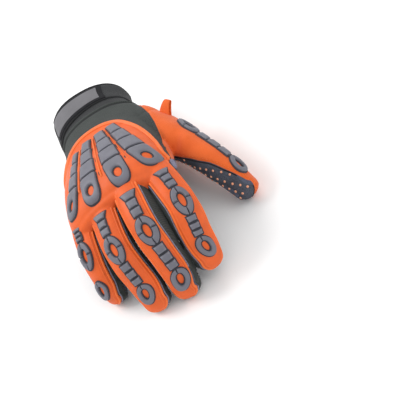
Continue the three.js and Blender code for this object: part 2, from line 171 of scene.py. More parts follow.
@dataclass(frozen=True)
class HandForm:
    """The hand from the cuff's rim to the finger roots, as rounded sections.

    Attributes:
        rows: Place along the hand, centre across and up, half width, height above and below the centre, rise
            of the hollow under the palm, and roll to the little finger in degrees.
        last: Place of the last section.
        closing: Sections that close the form past the last one: how far past it, how far drawn in, and share
            of the hollow under the palm.
        seam_rise: Height of the side seam over the sections' centres.
        seam_slope: How much it rises with the place across.
    """

    rows: tuple[tuple[float, ...], ...] = (
        (46, -4.5, 28.2, 34.8, 27.5, 28.2, 0, -2),
        (30, -4.2, 28, 34, 27.5, 27.7, 0, -3),
        (10, -0.6, 28, 36.8, 28.8, 27.2, 0, -4),
        (-14, 1.3, 28, 40.5, 32.5, 27.2, 0, -6),
        (-42, 1.2, 32, 45, 36, 24, 4, -9),
        (-70, 0.6, 37, 47, 37.3, 17, 9, -11),
        (-90, 0.5, 41, 47, 34.3, 12, 11, -12),
        (-100, 0, 42, 45.5, 30.3, 9, 10, -13),
        (-106, 0, 42, 43, 25, 6, 8, -13),
    )
    last: float = -103
    closing: tuple[tuple[float, float, float], ...] = (
        (0, 0, 1), (2, 0.7, 0.9), (3.4, 2.6, 0.7), (4.6, 5.5, 0.3), (5.2, 9, 0.1),
    )
    seam_rise: float = 4.0
    seam_slope: float = 0.06

    def section(self, y: Array) -> tuple[Array, ...]:
        """Returns x, z, half, up, down, hollow and roll (radians) of the sections at each y."""
        table = np.array(self.rows, float)
        read = cubic_through(-table[:, 0], table[:, 1:], -np.atleast_1d(y).astype(float))
        columns = list(read.T)
        columns[6] = np.radians(columns[6])
        return tuple(columns)

    def place(self, y: Array, across: Array, height: Array) -> Array:
        """Returns points from places in the sections' own axes."""
        x, z, _, _, _, _, roll = self.section(y)
        right = x + across * np.cos(roll) + height * np.sin(roll)
        up = z - across * np.sin(roll) + height * np.cos(roll)
        return np.stack([right, y * np.ones_like(x), up], axis=-1)

    def ring(self, y: float, angles: Array, inset: float = 0.0, arch: float = 1.0) -> Array:
        """Returns one section's outline.

        Args:
            y: Place along the hand.
            angles: Angles round the section in degrees, from the thumb side over the back.
            inset: How far the outline is drawn in.
            arch: Share of the hollow under the palm that is kept.

        Returns:
            A point for each angle.
        """
        _, _, half, up, down, hollow, _ = (c[0] for c in self.section(np.array([y])))
        wide, tall = rounded(angles)
        below = np.clip(-np.sin(np.radians(angles)), 0, None)
        height = tall * np.where(tall > 0, up - inset, down - inset)
        lift = arch * hollow * (1 - wide**2) * below
        return self.place(np.full(len(angles), y), (half - inset) * wide, height + lift)

    def local(self, points: Array) -> tuple[Array, Array, tuple[Array, ...]]:
        """Returns across, height and the section of points seen in the sections' own axes."""
        section = self.section(points[:, 1])
        x, z, roll = section[0], section[1], section[6]
        dx, dz = points[:, 0] - x, points[:, 2] - z
        across = dx * np.cos(roll) - dz * np.sin(roll)
        return across, dx * np.sin(roll) + dz * np.cos(roll), section

    def distance(self, points: Array) -> Array:
        """Returns the rough distance of points from the hand's skin, positive outside."""
        across, height, (_, _, half, up, down, hollow, _) = self.local(points)
        lift = hollow * np.clip(1 - (across / half) ** 2, 0, 1)
        below = height < 0.5 * lift
        gap = section_gap(across, np.where(below, height - lift, height), half, np.where(below, down, up))
        return np.maximum(gap, 0.8 * (self.last - 4 - points[:, 1]))

    def over(self, x: Array, y: Array, height: Array) -> Array:
        """Returns points at a height over the back of the hand.

        Args:
            x: Place across, seen from above.
            y: Place along, seen from above.
            height: Height over the skin.

        Returns:
            Points in the shape of the three, broadcast together.
        """
        shape, (x, y, height) = as_rows(x, y, height)
        centre, _, half, up, _, _, _ = self.section(y)
        across = x - centre
        for _ in range(8):
            across = across + x - self.place(y, across, back_height(across, half, up))[:, 0]
        rise, lean = back_at(across, half, up)
        points = self.place(y, across - np.sin(lean) * height, rise + np.cos(lean) * height)
        return points.reshape(*shape, 3)


@dataclass(frozen=True)
class DigitForm:
    """One finger or the thumb, as rounded sections along a centre line.

    Attributes:
        name: The digit's name.
        line: Centre line from inside the hand to the tip: root, web, middle joint, end joint and tip.
        half: Half width at each point.
        thick: Half thickness at each point.
        roll: How far its back leans towards the thumb side, in degrees.
        guard_width: Half width of the moulded guard on its back.
        guard_start: Place where the guard starts.
        rings: Places of the guard's two rings.
        seam: Angles round the digit between which its back piece lies.
        guard_shift: How far the guard lies off the middle of the back.
        reach: Half lengths of the guard's rings.
    """

    name: str
    line: tuple[tuple[float, float, float], ...]
    half: tuple[float, ...]
    thick: tuple[float, ...]
    roll: float
    guard_width: float
    guard_start: float
    rings: tuple[float, float]
    seam: tuple[float, float] = (22, 157)
    guard_shift: float = 0.0
    reach: tuple[float, float] = (9.0, 7.6)

    def read(self, place: Array) -> tuple[Array, ...]:
        """Returns centre, along, side, back, half and thick at places from 0, the root, to 4, the tip."""
        rows = np.column_stack([np.array(self.line), self.half, self.thick])
        places = np.arange(5.0)
        place = np.atleast_1d(np.asarray(place, float))
        row = cubic_through(places, rows, place)
        ahead = cubic_through(places, rows, np.minimum(place + 0.05, 4))[:, :3]
        behind = cubic_through(places, rows, np.maximum(place - 0.05, 0))[:, :3]
        along = unit(ahead - behind)
        up = np.array([np.sin(np.radians(self.roll)), 0, np.cos(np.radians(self.roll))])
        side = unit(np.cross(up[None], along))
        return row[:, :3], along, side, unit(np.cross(along, side)), row[:, 3], row[:, 4]

    def lengths(self) -> tuple[Array, Array]:
        """Returns fine places along the digit and the length of its line up to each."""
        places = np.linspace(0, 4, 161)
        return places, run_of(self.read(places)[0])

    def length_at(self, place: float) -> float:
        """Returns the length of the line from the root to a place."""
        return float(np.interp(place, *self.lengths()))

    def read_along(self, length: Array) -> tuple[Array, ...]:
        """Returns how far lengths run past the tip, then centre, side, back, half and thick there."""
        places, lengths = self.lengths()
        centre, forward, side, back, half, thick = self.read(np.interp(length, lengths, places))
        past = np.maximum(length - lengths[-1], 0)
        return past, centre + forward * past[:, None], side, back, half, thick

    def over(self, across: Array, along: Array, height: Array) -> Array:
        """Returns points at a height over the digit's back.

        Args:
            across: Distance from the middle of the back.
            along: Length along the line from the root.
            height: Height over the skin.

        Returns:
            Points in the shape of the three, broadcast together.
        """
        shape, (across, along, height) = as_rows(across, along, height)
        past, centre, side, back, half, thick = self.read_along(along)
        rise, lean = back_at(across, half, thick)
        sunk = rise * (1 - np.sqrt(np.clip(1 - (past / (TIP_SHARE * thick[-1] + 1)) ** 2, 0, 1)))
        out = rise - sunk + np.cos(lean) * height
        points = centre + side * (across - np.sin(lean) * height)[:, None] + back * out[:, None]
        return points.reshape(*shape, 3)

    def under(self, angle: Array, along: Array) -> Array:
        """Returns points on the skin at angles round the digit."""
        _, centre, side, back, half, thick = self.read_along(along)
        wide, tall = rounded(angle)
        return centre + side * (half * wide)[:, None] + back * (thick * tall)[:, None]

    def rings_of(self, sides: int) -> Array:
        """Returns the rings of the digit as one closed rounded form."""
        wide, tall = rounded(np.arange(sides) * 360 / sides)
        turns = np.linspace(0, 0.97, 8)[1:] * np.pi / 2
        steady = np.linspace(0, 4, 41)
        places = np.concatenate([steady, np.full(len(turns), 4.0)])
        keep = np.concatenate([np.ones(len(steady)), np.cos(turns) ** 0.8])
        centre, along, side, back, half, thick = self.read(places)
        past = np.concatenate([np.zeros(len(steady)), np.sin(turns) * thick[-1] * TIP_SHARE])
        middle = centre + along * past[:, None]
        return (middle[:, None] + side[:, None] * (half * keep)[:, None, None] * wide[None, :, None]
                + back[:, None] * (thick * keep)[:, None, None] * tall[None, :, None])

    def local(self, points: Array) -> tuple[Array, ...]:
        """Returns place, across, height and forward of points near the digit.

        Args:
            points: The points.

        Returns:
            Place along the digit, distance across and height in its own axes, and how far past the tip.
        """
        places = np.linspace(0, 4, 81)
        centres = self.read(places)[0]
        nearest = np.empty(len(points), int)
        for start in range(0, len(points), BLOCK):
            block = points[start:start + BLOCK]
            gaps = ((block[:, None] - centres[None]) ** 2).sum(-1)
            nearest[start:start + BLOCK] = gaps.argmin(1)
        place = places[nearest]
        for _ in range(2):
            centre, along = self.read(place)[:2]
            ahead, behind = self.read(np.minimum(place + 0.02, 4))[0], self.read(place - 0.02)[0]
            pace = np.maximum(np.linalg.norm(ahead - behind, axis=1) / 0.04, 5)
            place = np.clip(place + ((points - centre) * along).sum(1) / pace, 0, 4)
        centre, along, side, back, _, _ = self.read(place)
        offset = points - centre
        return place, (offset * side).sum(1), (offset * back).sum(1), (offset * along).sum(1)

    def distance(self, local: tuple[Array, ...]) -> Array:
        """Returns the rough distance from the digit's skin of places in its own axes, positive outside."""
        place, across, height, forward = local
        _, _, _, _, half, thick = self.read(place)
        gap = section_gap(across, height, half, thick)
        return np.where((place >= 4) & (forward > 0), np.maximum(gap, forward - 0.9 * thick), gap)


HAND = HandForm()
FINGERS = (
    DigitForm("index",
              ((26, -66, 54), (33, -96, 58), (39.5, -129, 49), (38.2, -148.4, 28.4), (38, -155.4, 15.4)),
              (8, 11, 11.4, 11.2, 10.2), (8, 10.6, 10.4, 9.8, 8.8), 14, 6, 1.24, (1.97, 3.12)),
    DigitForm("middle",
              ((8, -66, 57), (9.5, -98, 62), (11.5, -137, 49.5), (14.8, -157, 22.6), (15, -162.6, 8.4)),
              (8, 11.4, 12, 11.6, 10.4), (8, 10.6, 10.6, 10, 8.8), -2, 6.6, 1.3, (2, 3.14), (42, 157)),
    DigitForm("ring",
              ((-13, -64, 53), (-13.5, -95, 55.5), (-14.5, -132, 43), (-10.2, -153.2, 19.2),
               (-9, -160.5, 7.6)),
              (8, 11, 11.6, 11.4, 10.2), (8, 10.4, 10.4, 9.8, 8.8), -15, 6.2, 1.33, (2, 3.12)),
    DigitForm("little",
              ((-30, -60, 45), (-33.5, -88, 47), (-37, -115.5, 36), (-37.6, -131.2, 18.2),
               (-37.8, -136.6, 7.8)),
              (7, 10.2, 10.6, 10, 9), (7, 9.6, 9.4, 9, 7.8), -25, 5.4, 1.36, (2, 3.1)),
)
THUMB = DigitForm("thumb",
                  ((20, 2, 29), (43, -24, 30), (62, -58, 30), (76.8, -87, 22.6), (85.8, -106, 10.8)),
                  (20, 21, 15, 12.6, 9.8), (16, 17, 13, 11.4, 8.8), 62, 5.6, 1.3, (1.74, 3.35),
                  (-40, 160), -2.5, (12.0, 7.6))
THUMB_EDGE = ((1.6, 235), (2.04, 213), (2.32, 197), (2.53, 188), (2.8, 172), (3.2, 159), (3.49, 147),
              (3.91, 133), (4, 120))
DIGITS = (*FINGERS, THUMB)


@dataclass(frozen=True)
class Column:
    """A column of moulded pads up to a knuckle ring, drawn from above.

    Attributes:
        name: The finger it leads to.
        line: Points from the wrist end to the ring's centre.
        half: Half width at each point.
    """

    name: str
    line: tuple[tuple[float, float], ...]
    half: tuple[float, ...]

    def path(self) -> Array:
        """Returns the column's middle as fine points."""
        points = np.array(self.line, float)
        places = np.arange(len(points), dtype=float)
        return cubic_through(places, points, np.linspace(0, places[-1], 161))

    def length(self) -> float:
        """Returns the length of the column's middle."""
        return float(run_of(self.path())[-1])

    def over(self, across: Array, along: Array, height: Array) -> Array:
        """Returns points over the back of the hand.

        Args:
            across: Distance from the column's middle.
            along: Length along it.
            height: Height over the skin.

        Returns:
            Points in the shape of the three, broadcast together.
        """
        path = self.path()
        steps = run_of(path)
        inside = np.clip(along, 0, steps[-1])
        known = np.column_stack([path, unit(np.gradient(path, axis=0))])
        x, y, tx, ty = (np.interp(inside, steps, column) for column in known.T)
        past = along - inside
        return HAND.over(x + tx * past + ty * across, y + ty * past - tx * across, height)


COLUMNS = (
    Column("index", ((13, -26), (17, -40), (21.6, -56), (28, -76), (33.5, -89)), (4, 5.4, 6.8, 8.4, 8.6)),
    Column("middle", ((2.6, -28), (4.6, -43), (6.4, -60), (8.4, -82), (10, -95)), (4.2, 5.6, 7.2, 8.8, 9)),
    Column("ring", ((-9, -29), (-10.6, -43), (-11.6, -60), (-13.6, -80), (-14.8, -94)),
           (4, 5.2, 6.6, 8.2, 8.4)),
    Column("little", ((-20.2, -33), (-23.2, -47), (-25.6, -61), (-29.6, -77), (-34.4, -89.5)),
           (2.6, 3.4, 4.3, 5.6, 6.4)),
)

DOME = ((-58, -48), (-44, -36), (-33, -24), (-20, -16), (-5, -14), (10, -16.5), (22, -22.5), (32, -35),
        (39, -50), (43.5, -66), (46.5, -84), (60, -100))
DOME_FRONT = ((60, -200), (-70, -200), (-70, -60))
YOKE_EDGE = ((15, 34.5), (0, 39.5), (-16, 43.9), (-30, 45.4), (-45, 45.2), (-60, 45), (-74, 46.2), (-90, 47))
WEB_PATCH = (46.8, -85.0, 51.0)
WEB_PATCH_SIZE = (5.0, 6.0, 5.0)
PALM_PATCHES = {"palm_pad": ((8, -66), (33, 25), 25), "heel_pad": ((-14, -16), (24, 23), 20)}
CUFF_FROM = 8.0
RIM = 46.0


def placed(name: str, data: bpy.types.ID) -> bpy.types.Object:
    """Returns a new object of some data, linked to the scene."""
    made = bpy.data.objects.new(name, data)
    bpy.context.scene.collection.objects.link(made)
    return made


class Mesh:
    """Builds objects from points in the pattern's millimetres."""

    @staticmethod
    def make(name: str, points: Array, faces: Faces, sharp: float) -> bpy.types.Object:
        """Makes an object in the frame from a mesh in millimetres.

        Args:
            name: The object's name.
            points: Its points, in the pattern's millimetres.
            faces: Its faces.
            sharp: Edges that bend more than this many degrees stay sharp.

        Returns:
            The object, at the origin.
        """
        points = points.copy()
        points[:, 2] = np.maximum(points[:, 2], FLOOR)
        data = bpy.data.meshes.new(name)
        data.from_pydata(((points - ORIGIN) * MM).tolist(), [], faces)
        form = bmesh.new()
        form.from_mesh(data)
        bmesh.ops.recalc_face_normals(form, faces=form.faces)
        form.to_mesh(data)
        form.free()
        data.polygons.foreach_set("use_smooth", [True] * len(data.polygons))
        data.set_sharp_from_angle(angle=np.radians(sharp))
        return placed(name, data)

    @staticmethod
    def rings(rings: Array, closed: bool = False) -> Form:
        """Returns a form through rings of equal count.

        Args:
            rings: The rings' points.
            closed: Whether the last ring meets the first, instead of a cap on each.

        Returns:
            The form's points and faces.
        """
        index = np.arange(rings[..., 0].size).reshape(rings.shape[:2])
        here, ahead = (index, np.roll(index, -1, axis=0)) if closed else (index[:-1], index[1:])
        quads = np.stack([here, np.roll(here, -1, axis=1), np.roll(ahead, -1, axis=1), ahead], axis=-1)
        caps = [] if closed else [index[0, ::-1].tolist(), index[-1].tolist()]
        return rings.reshape(-1, 3), quads.reshape(-1, 4).tolist() + caps

    @staticmethod
    def sheet(top: Array, bottom: Array) -> Form:
        """Returns a closed sheet between two grids of the same shape."""
        return Mesh.rings(np.concatenate([top, bottom[:, ::-1]], axis=1))

    @staticmethod
    def tube(line: Array, radius: float, sides: int = 8, step: float = 1.2) -> Form:
        """Returns a round cord along a line.

        Args:
            line: The line's points.
            radius: The cord's radius.
            sides: Points round it.
            step: Length between its rings.

        Returns:
            The cord's points and faces.
        """
        line = Mesh.evened(line, step)
        along = unit(np.gradient(line, axis=0))
        first = np.cross(along[0], (0.3, 0.2, 1.0))
        sideways = [first / np.linalg.norm(first)]
        for direction in along[1:]:
            carried = sideways[-1] - direction * (sideways[-1] @ direction)
            sideways.append(carried / np.linalg.norm(carried))
        across = np.array(sideways)
        over = np.cross(along, across)
        angles = np.arange(sides) * 2 * np.pi / sides
        size = np.full(len(line), radius)
        size[[0, -1]] *= 0.4
        c, s = np.cos(angles)[None, :, None], np.sin(angles)[None, :, None]
        offset = c * across[:, None] + s * over[:, None]
        return Mesh.rings(line[:, None] + offset * size[:, None, None])

    @staticmethod
    def evened(line: Array, step: float, rounds: int = 3) -> Array:
        """Takes a line's jitter out.

        Args:
            line: The line's points.
            step: Length between the new points.
            rounds: How often it is smoothed.

        Returns:
            The line with points at even steps.
        """
        for _ in range(rounds):
            line = np.concatenate([line[:1], (line[:-2] + 2 * line[1:-1] + line[2:]) / 4, line[-1:]])
        gaps = run_of(line)
        at = np.linspace(0, gaps[-1], max(3, int(gaps[-1] / step) + 1))
        return np.stack([np.interp(at, gaps, column) for column in line.T], axis=1)

    @staticmethod
    def join(parts: Iterable[Form]) -> Form:
        """Returns several forms as one."""
        points: list[Array] = []
        faces: list[list[int]] = []
        count = 0
        for part_points, part_faces in parts:
            points.append(part_points)
            faces.extend([i + count for i in face] for face in part_faces)
            count += len(part_points)
        return np.concatenate(points), faces


def outline_distance(points: Array, outline: Array) -> Array:
    """Returns how far points, seen from above, lie inside a closed outline.

    Args:
        points: The points.
        outline: The outline's corners.

    Returns:
        Distances from the outline, positive inside.
    """
    best = np.full(len(points), FAR)
    inside = np.zeros(len(points), bool)
    for (x0, y0), (x1, y1) in zip(outline, np.roll(outline, -1, axis=0)):
        edge = np.array([x1 - x0, y1 - y0])
        offset = points[:, :2] - (x0, y0)
        share = np.clip(offset @ edge / max(edge @ edge, TINY), 0, 1)
        best = np.minimum(best, np.linalg.norm(offset - share[:, None] * edge, axis=1))
        crosses = (points[:, 1] < y0) != (points[:, 1] < y1)
        where = x0 + (points[:, 1] - y0) * (x1 - x0) / (y1 - y0 if abs(y1 - y0) > TINY else TINY)
        inside ^= crosses & (points[:, 0] < where)
    return np.where(inside, best, -best)


@dataclass(frozen=True)
class Fold:
    """A crease in the skin: a line of points, how deep it is and how wide."""

    line: tuple[tuple[float, float, float], ...]
    depth: float
    width: float


@dataclass
class Skin:
    """The glove's whole outer skin: one surface with measures on its points, cut along their zero lines.

    Attributes:
        voxel: Size of the cells that the forms are joined in.
        smoothing: Rounds that even the cells out.
        pull: Shares of the way to its neighbours' middle that a point moves in a round, first in, then out.
        ruffle: Height of the cloth's slight unevenness.
        lowest: Height of its lowest points.
        lining: Height of the lining's lowest points.
        high: Height over which the yoke and the web reach.
        seam_lean: How much a finger's seam rises for each millimetre past the tip.
        web_slope: How steeply the web's edge falls, as parts along the hand and up.
        web_from: Where that edge lies along the hand and up, and where the web starts across.
        pad_from: How far before the tip the middle of a digit's patch lies.
        pad_size: The patch's half length, its half width as a share of the digit's, and its scale.
        edge_power: How suddenly a panel's face rises from its edge.
        edge_sunk: How deep the edge lies.
        points: The points.
        faces: The triangles.
        fields: One number for each point under each measure's name.
    """

    voxel: float = 1.15
    smoothing: int = 6
    pull: tuple[float, float] = (0.5, -0.52)
    ruffle: float = 0.13
    lowest: float = 0.62
    lining: float = 0.9
    high: float = 27.0
    seam_lean: float = 0.35
    web_slope: tuple[float, float] = (0.754, 0.657)
    web_from: tuple[float, float, float] = (-82.0, 53.0, 20.0)
    pad_from: float = 8.5
    pad_size: tuple[float, float, float] = (12.5, 0.78, 8.0)
    edge_power: float = 1.4
    edge_sunk: float = 0.12
    points: Array = field(default_factory=lambda: np.zeros((0, 3)))
    faces: Array = field(default_factory=lambda: np.zeros((0, 3), int))
    fields: dict[str, Array] = field(default_factory=dict)

    def build(self, folds: Sequence[Fold]) -> None:
        """Joins the hand and the digits into one smooth skin and presses the folds into it."""
        self._join()
        self._smooth()
        normals = self.normals()
        for fold in folds:
            self._press(fold, normals)
        self._ruffle(normals)
        self.points[:, 2] = np.maximum(self.points[:, 2], self.lowest)
        self._measure()

    def _join(self) -> None:
        """Fills the joined forms with cells and takes their outer surface."""
        angles = np.arange(72) * 5.0
        rings = [HAND.ring(y, angles) for y in np.arange(RIM + 9, HAND.last - 0.1, -3.0)]
        for past, drawn, arch in HAND.closing:
            rings.append(HAND.ring(HAND.last, angles, drawn, arch) - (0, past, 0))
        forms = [Mesh.rings(np.array(rings)), *(Mesh.rings(digit.rings_of(40)) for digit in DIGITS)]
        points, faces = Mesh.join(forms)
        data = bpy.data.meshes.new("skin")
        data.from_pydata(points.tolist(), [], faces)
        whole = placed("skin", data)
        cells = whole.modifiers.new("cells", "REMESH")
        cells.mode, cells.voxel_size = "VOXEL", self.voxel
        joined = whole.evaluated_get(bpy.context.evaluated_depsgraph_get()).to_mesh()
        joined.calc_loop_triangles()
        places = np.empty(len(joined.vertices) * 3)
        joined.vertices.foreach_get("co", places)
        corners = np.empty(len(joined.loop_triangles) * 3, int)
        joined.loop_triangles.foreach_get("vertices", corners)
        self.points, self.faces = places.reshape(-1, 3), corners.reshape(-1, 3)
        bpy.data.objects.remove(whole)
        bpy.data.meshes.remove(data)

    def _smooth(self) -> None:
        """Evens the cells out, without drawing the whole form in."""
        edges = np.unique(np.sort(self.faces[:, [0, 1, 1, 2, 2, 0]].reshape(-1, 2), axis=1), axis=0)
        count = np.bincount(edges.ravel(), minlength=len(self.points))[:, None]
        for step in self.pull * self.smoothing:
            total = np.zeros_like(self.points)
            np.add.at(total, edges[:, 0], self.points[edges[:, 1]])
            np.add.at(total, edges[:, 1], self.points[edges[:, 0]])
            self.points += step * (total / count - self.points)

    def normals(self) -> Array:
        """Returns the outward direction at each point."""
        a, b, c = (self.points[self.faces[:, k]] for k in range(3))
        flat = np.cross(b - a, c - a)
        total = np.zeros_like(self.points)
        for k in range(3):
            np.add.at(total, self.faces[:, k], flat)
        return unit(total)

    def _press(self, fold: Fold, normals: Array) -> None:
        """Presses one fold into the skin, with a soft swell on both sides of a crease.

        Args:
            fold: The fold.
            normals: The skin's outward directions.
        """
        line = np.array(fold.line, float)
        best = np.full(len(self.points), FAR)
        share_along = np.zeros(len(self.points))
        for k, (start, end) in enumerate(zip(line[:-1], line[1:])):
            edge = end - start
            share = np.clip((self.points - start) @ edge / (edge @ edge), 0, 1)
            gap = np.linalg.norm(self.points - start - share[:, None] * edge, axis=1)
            nearer = gap < best
            best[nearer] = gap[nearer]
            share_along[nearer] = ((k + share) / (len(line) - 1))[nearer]
        fade = np.sin(np.clip(share_along, 0.02, 0.98) * np.pi) ** 0.5
        ratio = best / fold.width
        shape = np.exp(-(ratio**2))
        if fold.depth > 0:
            shape -= 0.45 * np.exp(-((ratio - 2.0) ** 2))
        self.points -= normals * (fold.depth * fade * shape)[:, None]

    def _ruffle(self, normals: Array) -> None:
        """Gives the skin the slight unevenness of sewn cloth."""
        rng = np.random.default_rng(SEED)
        total = np.zeros(len(self.points))
        for wave in (46.0, 31.0, 21.0, 14.0):
            for _ in range(3):
                direction = unit(rng.normal(size=3))
                phase = rng.uniform(0, 2 * np.pi)
                total += wave / 46 * np.sin(self.points @ direction * 2 * np.pi / wave + phase)
        self.points += normals * (self.ruffle * total)[:, None]

    def _measure(self) -> None:
        """Works out every measure that the pieces are cut along."""
        points = self.points
        x, y, z = points.T
        across, height, _ = HAND.local(points)
        yoke = np.array(YOKE_EDGE, float)[::-1]
        places = np.arange(len(DOME), dtype=float)
        outline = cubic_through(places, np.array(DOME, float), np.linspace(0, places[-1], 90))
        patch = (points - WEB_PATCH) / WEB_PATCH_SIZE
        edge = self.web_slope[0] * (y - self.web_from[0]) + self.web_slope[1] * (z - self.web_from[1])
        self.fields = {
            "rim": RIM - y,
            "cuff": y - CUFF_FROM - 0.08 * x,
            "hand_back": height - (HAND.seam_rise + HAND.seam_slope * np.abs(across)),
            "dome": outline_distance(points, np.concatenate([outline, DOME_FRONT])),
            "thumb_side": x - np.interp(y, yoke[:, 0], yoke[:, 1]),
            "web": np.minimum.reduce([edge, z - self.high, x - self.web_from[2]]),
            "crotch": (1 - np.linalg.norm(patch, axis=1)) * WEB_PATCH_SIZE[0],
        }
        for name, (middle, half, size) in PALM_PATCHES.items():
            self.fields[name] = (1 - np.hypot((x - middle[0]) / half[0], (y - middle[1]) / half[1])) * size
        hand = HAND.distance(points)
        local = {digit.name: digit.local(points) for digit in DIGITS}
        gaps = {digit.name: digit.distance(local[digit.name]) for digit in DIGITS}
        for digit in DIGITS:
            others = np.minimum.reduce([hand, *(gaps[d.name] for d in DIGITS if d is not digit)])
            self.fields[digit.name] = others - gaps[digit.name]
            self._measure_digit(digit, *local[digit.name])

    def _measure_digit(self, digit: DigitForm, place: Array, side: Array, rise: Array,
                       forward: Array) -> None:
        """Works out a digit's own measures: its back, its tip's patch and its low side.

        Args:
            digit: The digit.
            place: Each point's place along it.
            side: Its distance across, in the digit's own axes.
            rise: Its height in them.
            forward: How far it lies past the tip.
        """
        if digit is THUMB:
            turn = (np.degrees(np.arctan2(rise, side)) + 90) % 360 - 90
            edge = np.interp(place, *np.array(THUMB_EDGE).T)
            back = np.radians(np.minimum(edge - turn, turn - digit.seam[0])) * np.hypot(side, rise)
        else:
            slope = np.tan(np.radians(np.where(side > 0, digit.seam[0], 180 - digit.seam[1])))
            back = rise - slope * np.abs(side) - self.seam_lean * np.maximum(forward, 0)
        length = np.interp(place, *digit.lengths()) + np.maximum(forward, 0)
        half_length, share, scale = self.pad_size
        pad_along = (length - (digit.length_at(4) - self.pad_from)) / half_length
        pad_across = side / (share * digit.half[3])
        pad = (np.abs(pad_along) ** 3 + np.abs(pad_across) ** 3) ** (1 / 3)
        self.fields[f"{digit.name}_back"] = back
        self.fields[f"{digit.name}_pad"] = (1 - pad) * scale
        self.fields[f"{digit.name}_low"] = -rise - 0.5 * digit.read(place)[5]

    def _crossed(self, values: Array, where: Array) -> tuple[Array, Array]:
        """Returns the triangles that a zero line crosses.

        Args:
            values: The measure's values at the points.
            where: The triangles to look in.

        Returns:
            Which triangles they are, and their corners with the lone one first.
        """
        signs = values[self.faces] > 0
        crossing = where & (signs.sum(1) % 3 > 0)
        signs = signs[crossing]
        lone = np.where(signs.sum(1) == 1, signs.argmax(1), (~signs).argmax(1))
        order = (lone[:, None] + np.arange(3)) % 3
        return crossing, np.take_along_axis(self.faces[crossing], order, 1)

    def cut(self, name: str, where: Array) -> None:
        """Cuts the triangles along a measure's zero line.

        Args:
            name: The measure.
            where: The triangles that may be cut.
        """
        values = self.fields[name]
        values[np.abs(values) < 1e-3] = 1e-3
        crossing, corners = self._crossed(values, where)
        if not len(corners):
            return
        a, b, c = corners.T
        pairs = np.sort(np.concatenate([np.stack([a, b], 1), np.stack([a, c], 1)]), axis=1)
        edges, index = np.unique(pairs, axis=0, return_inverse=True)
        index = index.ravel() + len(self.points)
        low, high = edges.T
        share = np.clip(values[low] / (values[low] - values[high]), 0.02, 0.98)
        for key, data in self.fields.items():
            between = data[low] * (1 - share) + data[high] * share
            self.fields[key] = np.concatenate([data, between * (key != name)])
        share = share[:, None]
        added = self.points[low] * (1 - share) + self.points[high] * share
        self.points = np.concatenate([self.points, added])
        ab, ac = index[:len(a)], index[len(a):]
        new = [np.stack(corners, 1) for corners in ((a, ab, ac), (ab, b, c), (ab, c, ac))]
        self.faces = np.concatenate([self.faces[~crossing], *new])

    def mean(self, name: str) -> Array:
        """Returns a measure's mean over each triangle."""
        return self.fields[name][self.faces].mean(1)

    def middles(self) -> Array:
        """Returns the middle of each triangle."""
        return self.points[self.faces].mean(1)

    def off(self, digits: Iterable[DigitForm]) -> Array:
        """Returns which triangles belong to none of some digits."""
        return np.all([self.mean(digit.name) <= 0 for digit in digits], axis=0)

    def cut_all(self) -> dict[str, Array]:
        """Cuts the skin into its pieces.

        Returns:
            For each piece's name, which triangles are its own.
        """
        self.cut("rim", np.ones(len(self.faces), bool))
        self.cut("cuff", self.middles()[:, 1] > -20)
        for digit in DIGITS:
            self.cut(digit.name, self.mean("rim") > 0)
        for digit in DIGITS:
            self.cut(f"{digit.name}_back", self.mean(digit.name) > 0)
        self.cut("hand_back", self.off(DIGITS) & (self.mean("cuff") < 0))
        for name, side in (("web", -1), ("crotch", -1), ("dome", 1)):
            self.cut(name, self.off(DIGITS) & (side * self.mean("hand_back") > 0))
        on_top = (self.middles()[:, 2] > self.high) & (self.mean("rim") > 0)
        self.cut("thumb_side", on_top & self.off(FINGERS))
        for part, digits in (("low", FINGERS), ("pad", DIGITS)):
            for digit in digits:
                front = self.mean(f"{digit.name}_back") < 0
                self.cut(f"{digit.name}_{part}", (self.mean(digit.name) > 0) & front)
        for name in PALM_PATCHES:
            self.cut(name, self.off(DIGITS) & (self.mean("hand_back") < 0))
        return self._sort()

    def _sort(self) -> dict[str, Array]:
        """Returns which triangles belong to each piece: those that no piece before it has taken."""
        on = {name: self.mean(name) > 0 for name in self.fields}
        near = self.mean("thumb_side") < 0
        hand = ~on["thumb"]
        thumb_back = on["thumb"] & on["thumb_back"]
        hand_back, web = hand & on["hand_back"], hand & on["web"]
        wanted = {"cuff": on["cuff"]}
        for digit in FINGERS:
            own = on[digit.name]
            wanted[f"{digit.name}_strip"] = own & on[f"{digit.name}_back"]
            wanted[f"{digit.name}_pad"] = own & on[f"{digit.name}_pad"]
            wanted[f"{digit.name}_front"] = own & on[f"{digit.name}_low"]
            wanted[f"{digit.name}_gusset"] = own
        wanted |= {
            "panel": hand_back & on["dome"],
            "yoke": ((hand_back | web) & near) | (thumb_back & near & (self.middles()[:, 2] > self.high)),
            "thumb_back": thumb_back | hand_back | web,
            "crotch": hand & on["crotch"],
            "thumb_pad": on["thumb"] & on["thumb_pad"],
            "thumb_front": on["thumb"],
            "palm_pad": on["palm_pad"],
            "heel_pad": on["heel_pad"],
            "palm": np.ones(len(hand), bool),
        }
        free = on["rim"]
        pieces: dict[str, Array] = {}
        for name, chosen in wanted.items():
            pieces[name] = chosen & free
            free = free & ~chosen
        return pieces

